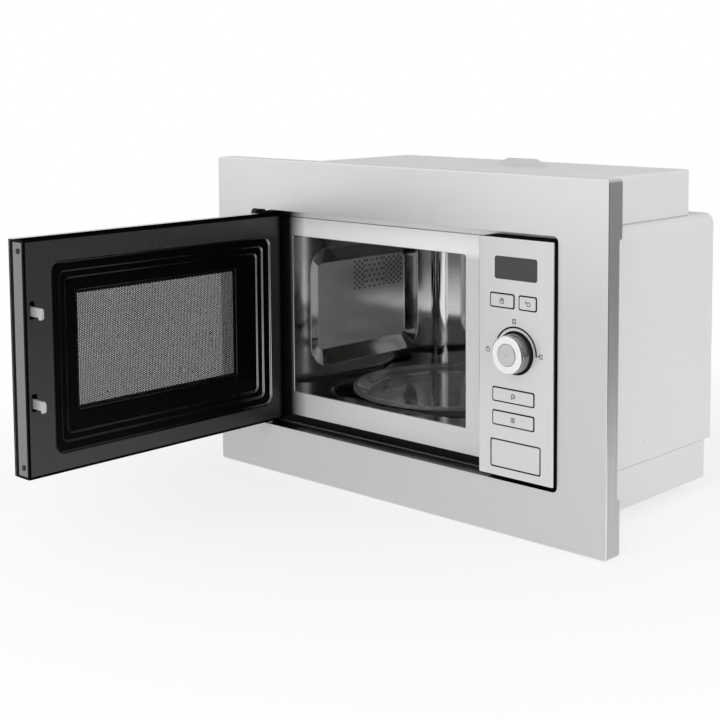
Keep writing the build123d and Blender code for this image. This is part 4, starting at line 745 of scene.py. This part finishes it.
floor_half_width, floor_drop = 12, 0.3 * MM
shaded_radius, white_radius, least_white = 0.35, 0.85, 0.72
flag_start, flag_end, flag_grey = 0.45, 0.9, 0.2
ground = bmesh.new()
bmesh.ops.create_grid(ground, x_segments=1, y_segments=1, size=floor_half_width)
bmesh.ops.translate(ground, verts=ground.verts, vec=(0, 0, -floor_drop))
floor = bpy.data.objects.new("floor", as_mesh("floor", ground))
bpy.context.scene.collection.objects.link(floor)
floor_paint, tree, shader, sheet = grained("floor_paint", (40, 40, 40))
shader.inputs["Roughness"].default_value = 0.9
shader.inputs["Specular IOR Level"].default_value = 0.0
tree.links.new(blended(tree, sheet.outputs["Grain"], 0.945, 0.955), shader.inputs["Base Color"])
away = tree.nodes.new("ShaderNodeVectorMath")
away.operation = "LENGTH"
place = tree.nodes.new("ShaderNodeTexCoord")
tree.links.new(place.outputs["Object"], away.inputs[0])
white_share = spread(tree, away.outputs["Value"], shaded_radius, white_radius, least_white, 1.0)
direct, glossy = seen_directly(tree)
white = tree.nodes.new("ShaderNodeEmission")
flag = worked(tree, "MULTIPLY", spread(tree, axes_of(tree)["X"], flag_start, flag_end), glossy)
tree.links.new(blended(tree, flag, 1.0, flag_grey), white.inputs["Color"])
mixed_into("Material Output", tree, worked(tree, "MULTIPLY", white_share, direct), shader.outputs["BSDF"],
           white.outputs["Emission"])
floor.data.materials.append(floor_paint)

turn_start, turn_end, far_grey = 0.3, 0.6, 0.16
studio = bpy.data.worlds.new("studio")
bpy.context.scene.world = studio
studio.use_nodes = True
tree = studio.node_tree
ambient = tree.nodes["Background"]
ambient.inputs["Color"].default_value = (1, 1, 1, 1)
ambient.inputs["Strength"].default_value = 0.52
backdrop = tree.nodes.new("ShaderNodeBackground")
direct, glossy = seen_directly(tree)
directions = axes_of(tree, "Generated")
flag = worked(tree, "MULTIPLY", spread(tree, directions["X"], turn_start, turn_end), glossy)
tree.links.new(blended(tree, flag, 1.0, far_grey), backdrop.inputs["Color"])
mixed_into("World Output", tree, direct, ambient.outputs["Background"], backdrop.outputs["Background"])

for name, spot, power, size in (
    ("front_lamp", (0.5, -2.7, 1.2), 34, 2.4),
    ("top_lamp", (0.2, 0.0, 2.6), 3, 2.6),
    ("side_lamp", (2.6, -0.2, 0.9), 31, 2.0),
):
    lamp = bpy.data.lights.new(name, "AREA")
    lamp.energy = power
    lamp.size = size
    stand = bpy.data.objects.new(name, lamp)
    stand.location = spot
    stand.rotation_euler = (Vector((0, 0, 0.2)) - Vector(spot)).to_track_quat("-Z", "Y").to_euler()
    stand.visible_glossy = False
    bpy.context.scene.collection.objects.link(stand)

camera = bpy.data.cameras.new("camera")
camera.lens = 71.49
camera.sensor_width = 36
camera.shift_x = -0.08
camera.shift_y = -0.22
camera.clip_start = 0.05
viewpoint = bpy.data.objects.new("camera", camera)
viewpoint.location = (1.09922, -1.33030, 0.49856)
viewpoint.rotation_euler = (1.477706, 0.003156, 0.734225)
bpy.context.scene.collection.objects.link(viewpoint)
bpy.context.scene.camera = viewpoint
bpy.context.scene.view_settings.view_transform = "Standard"
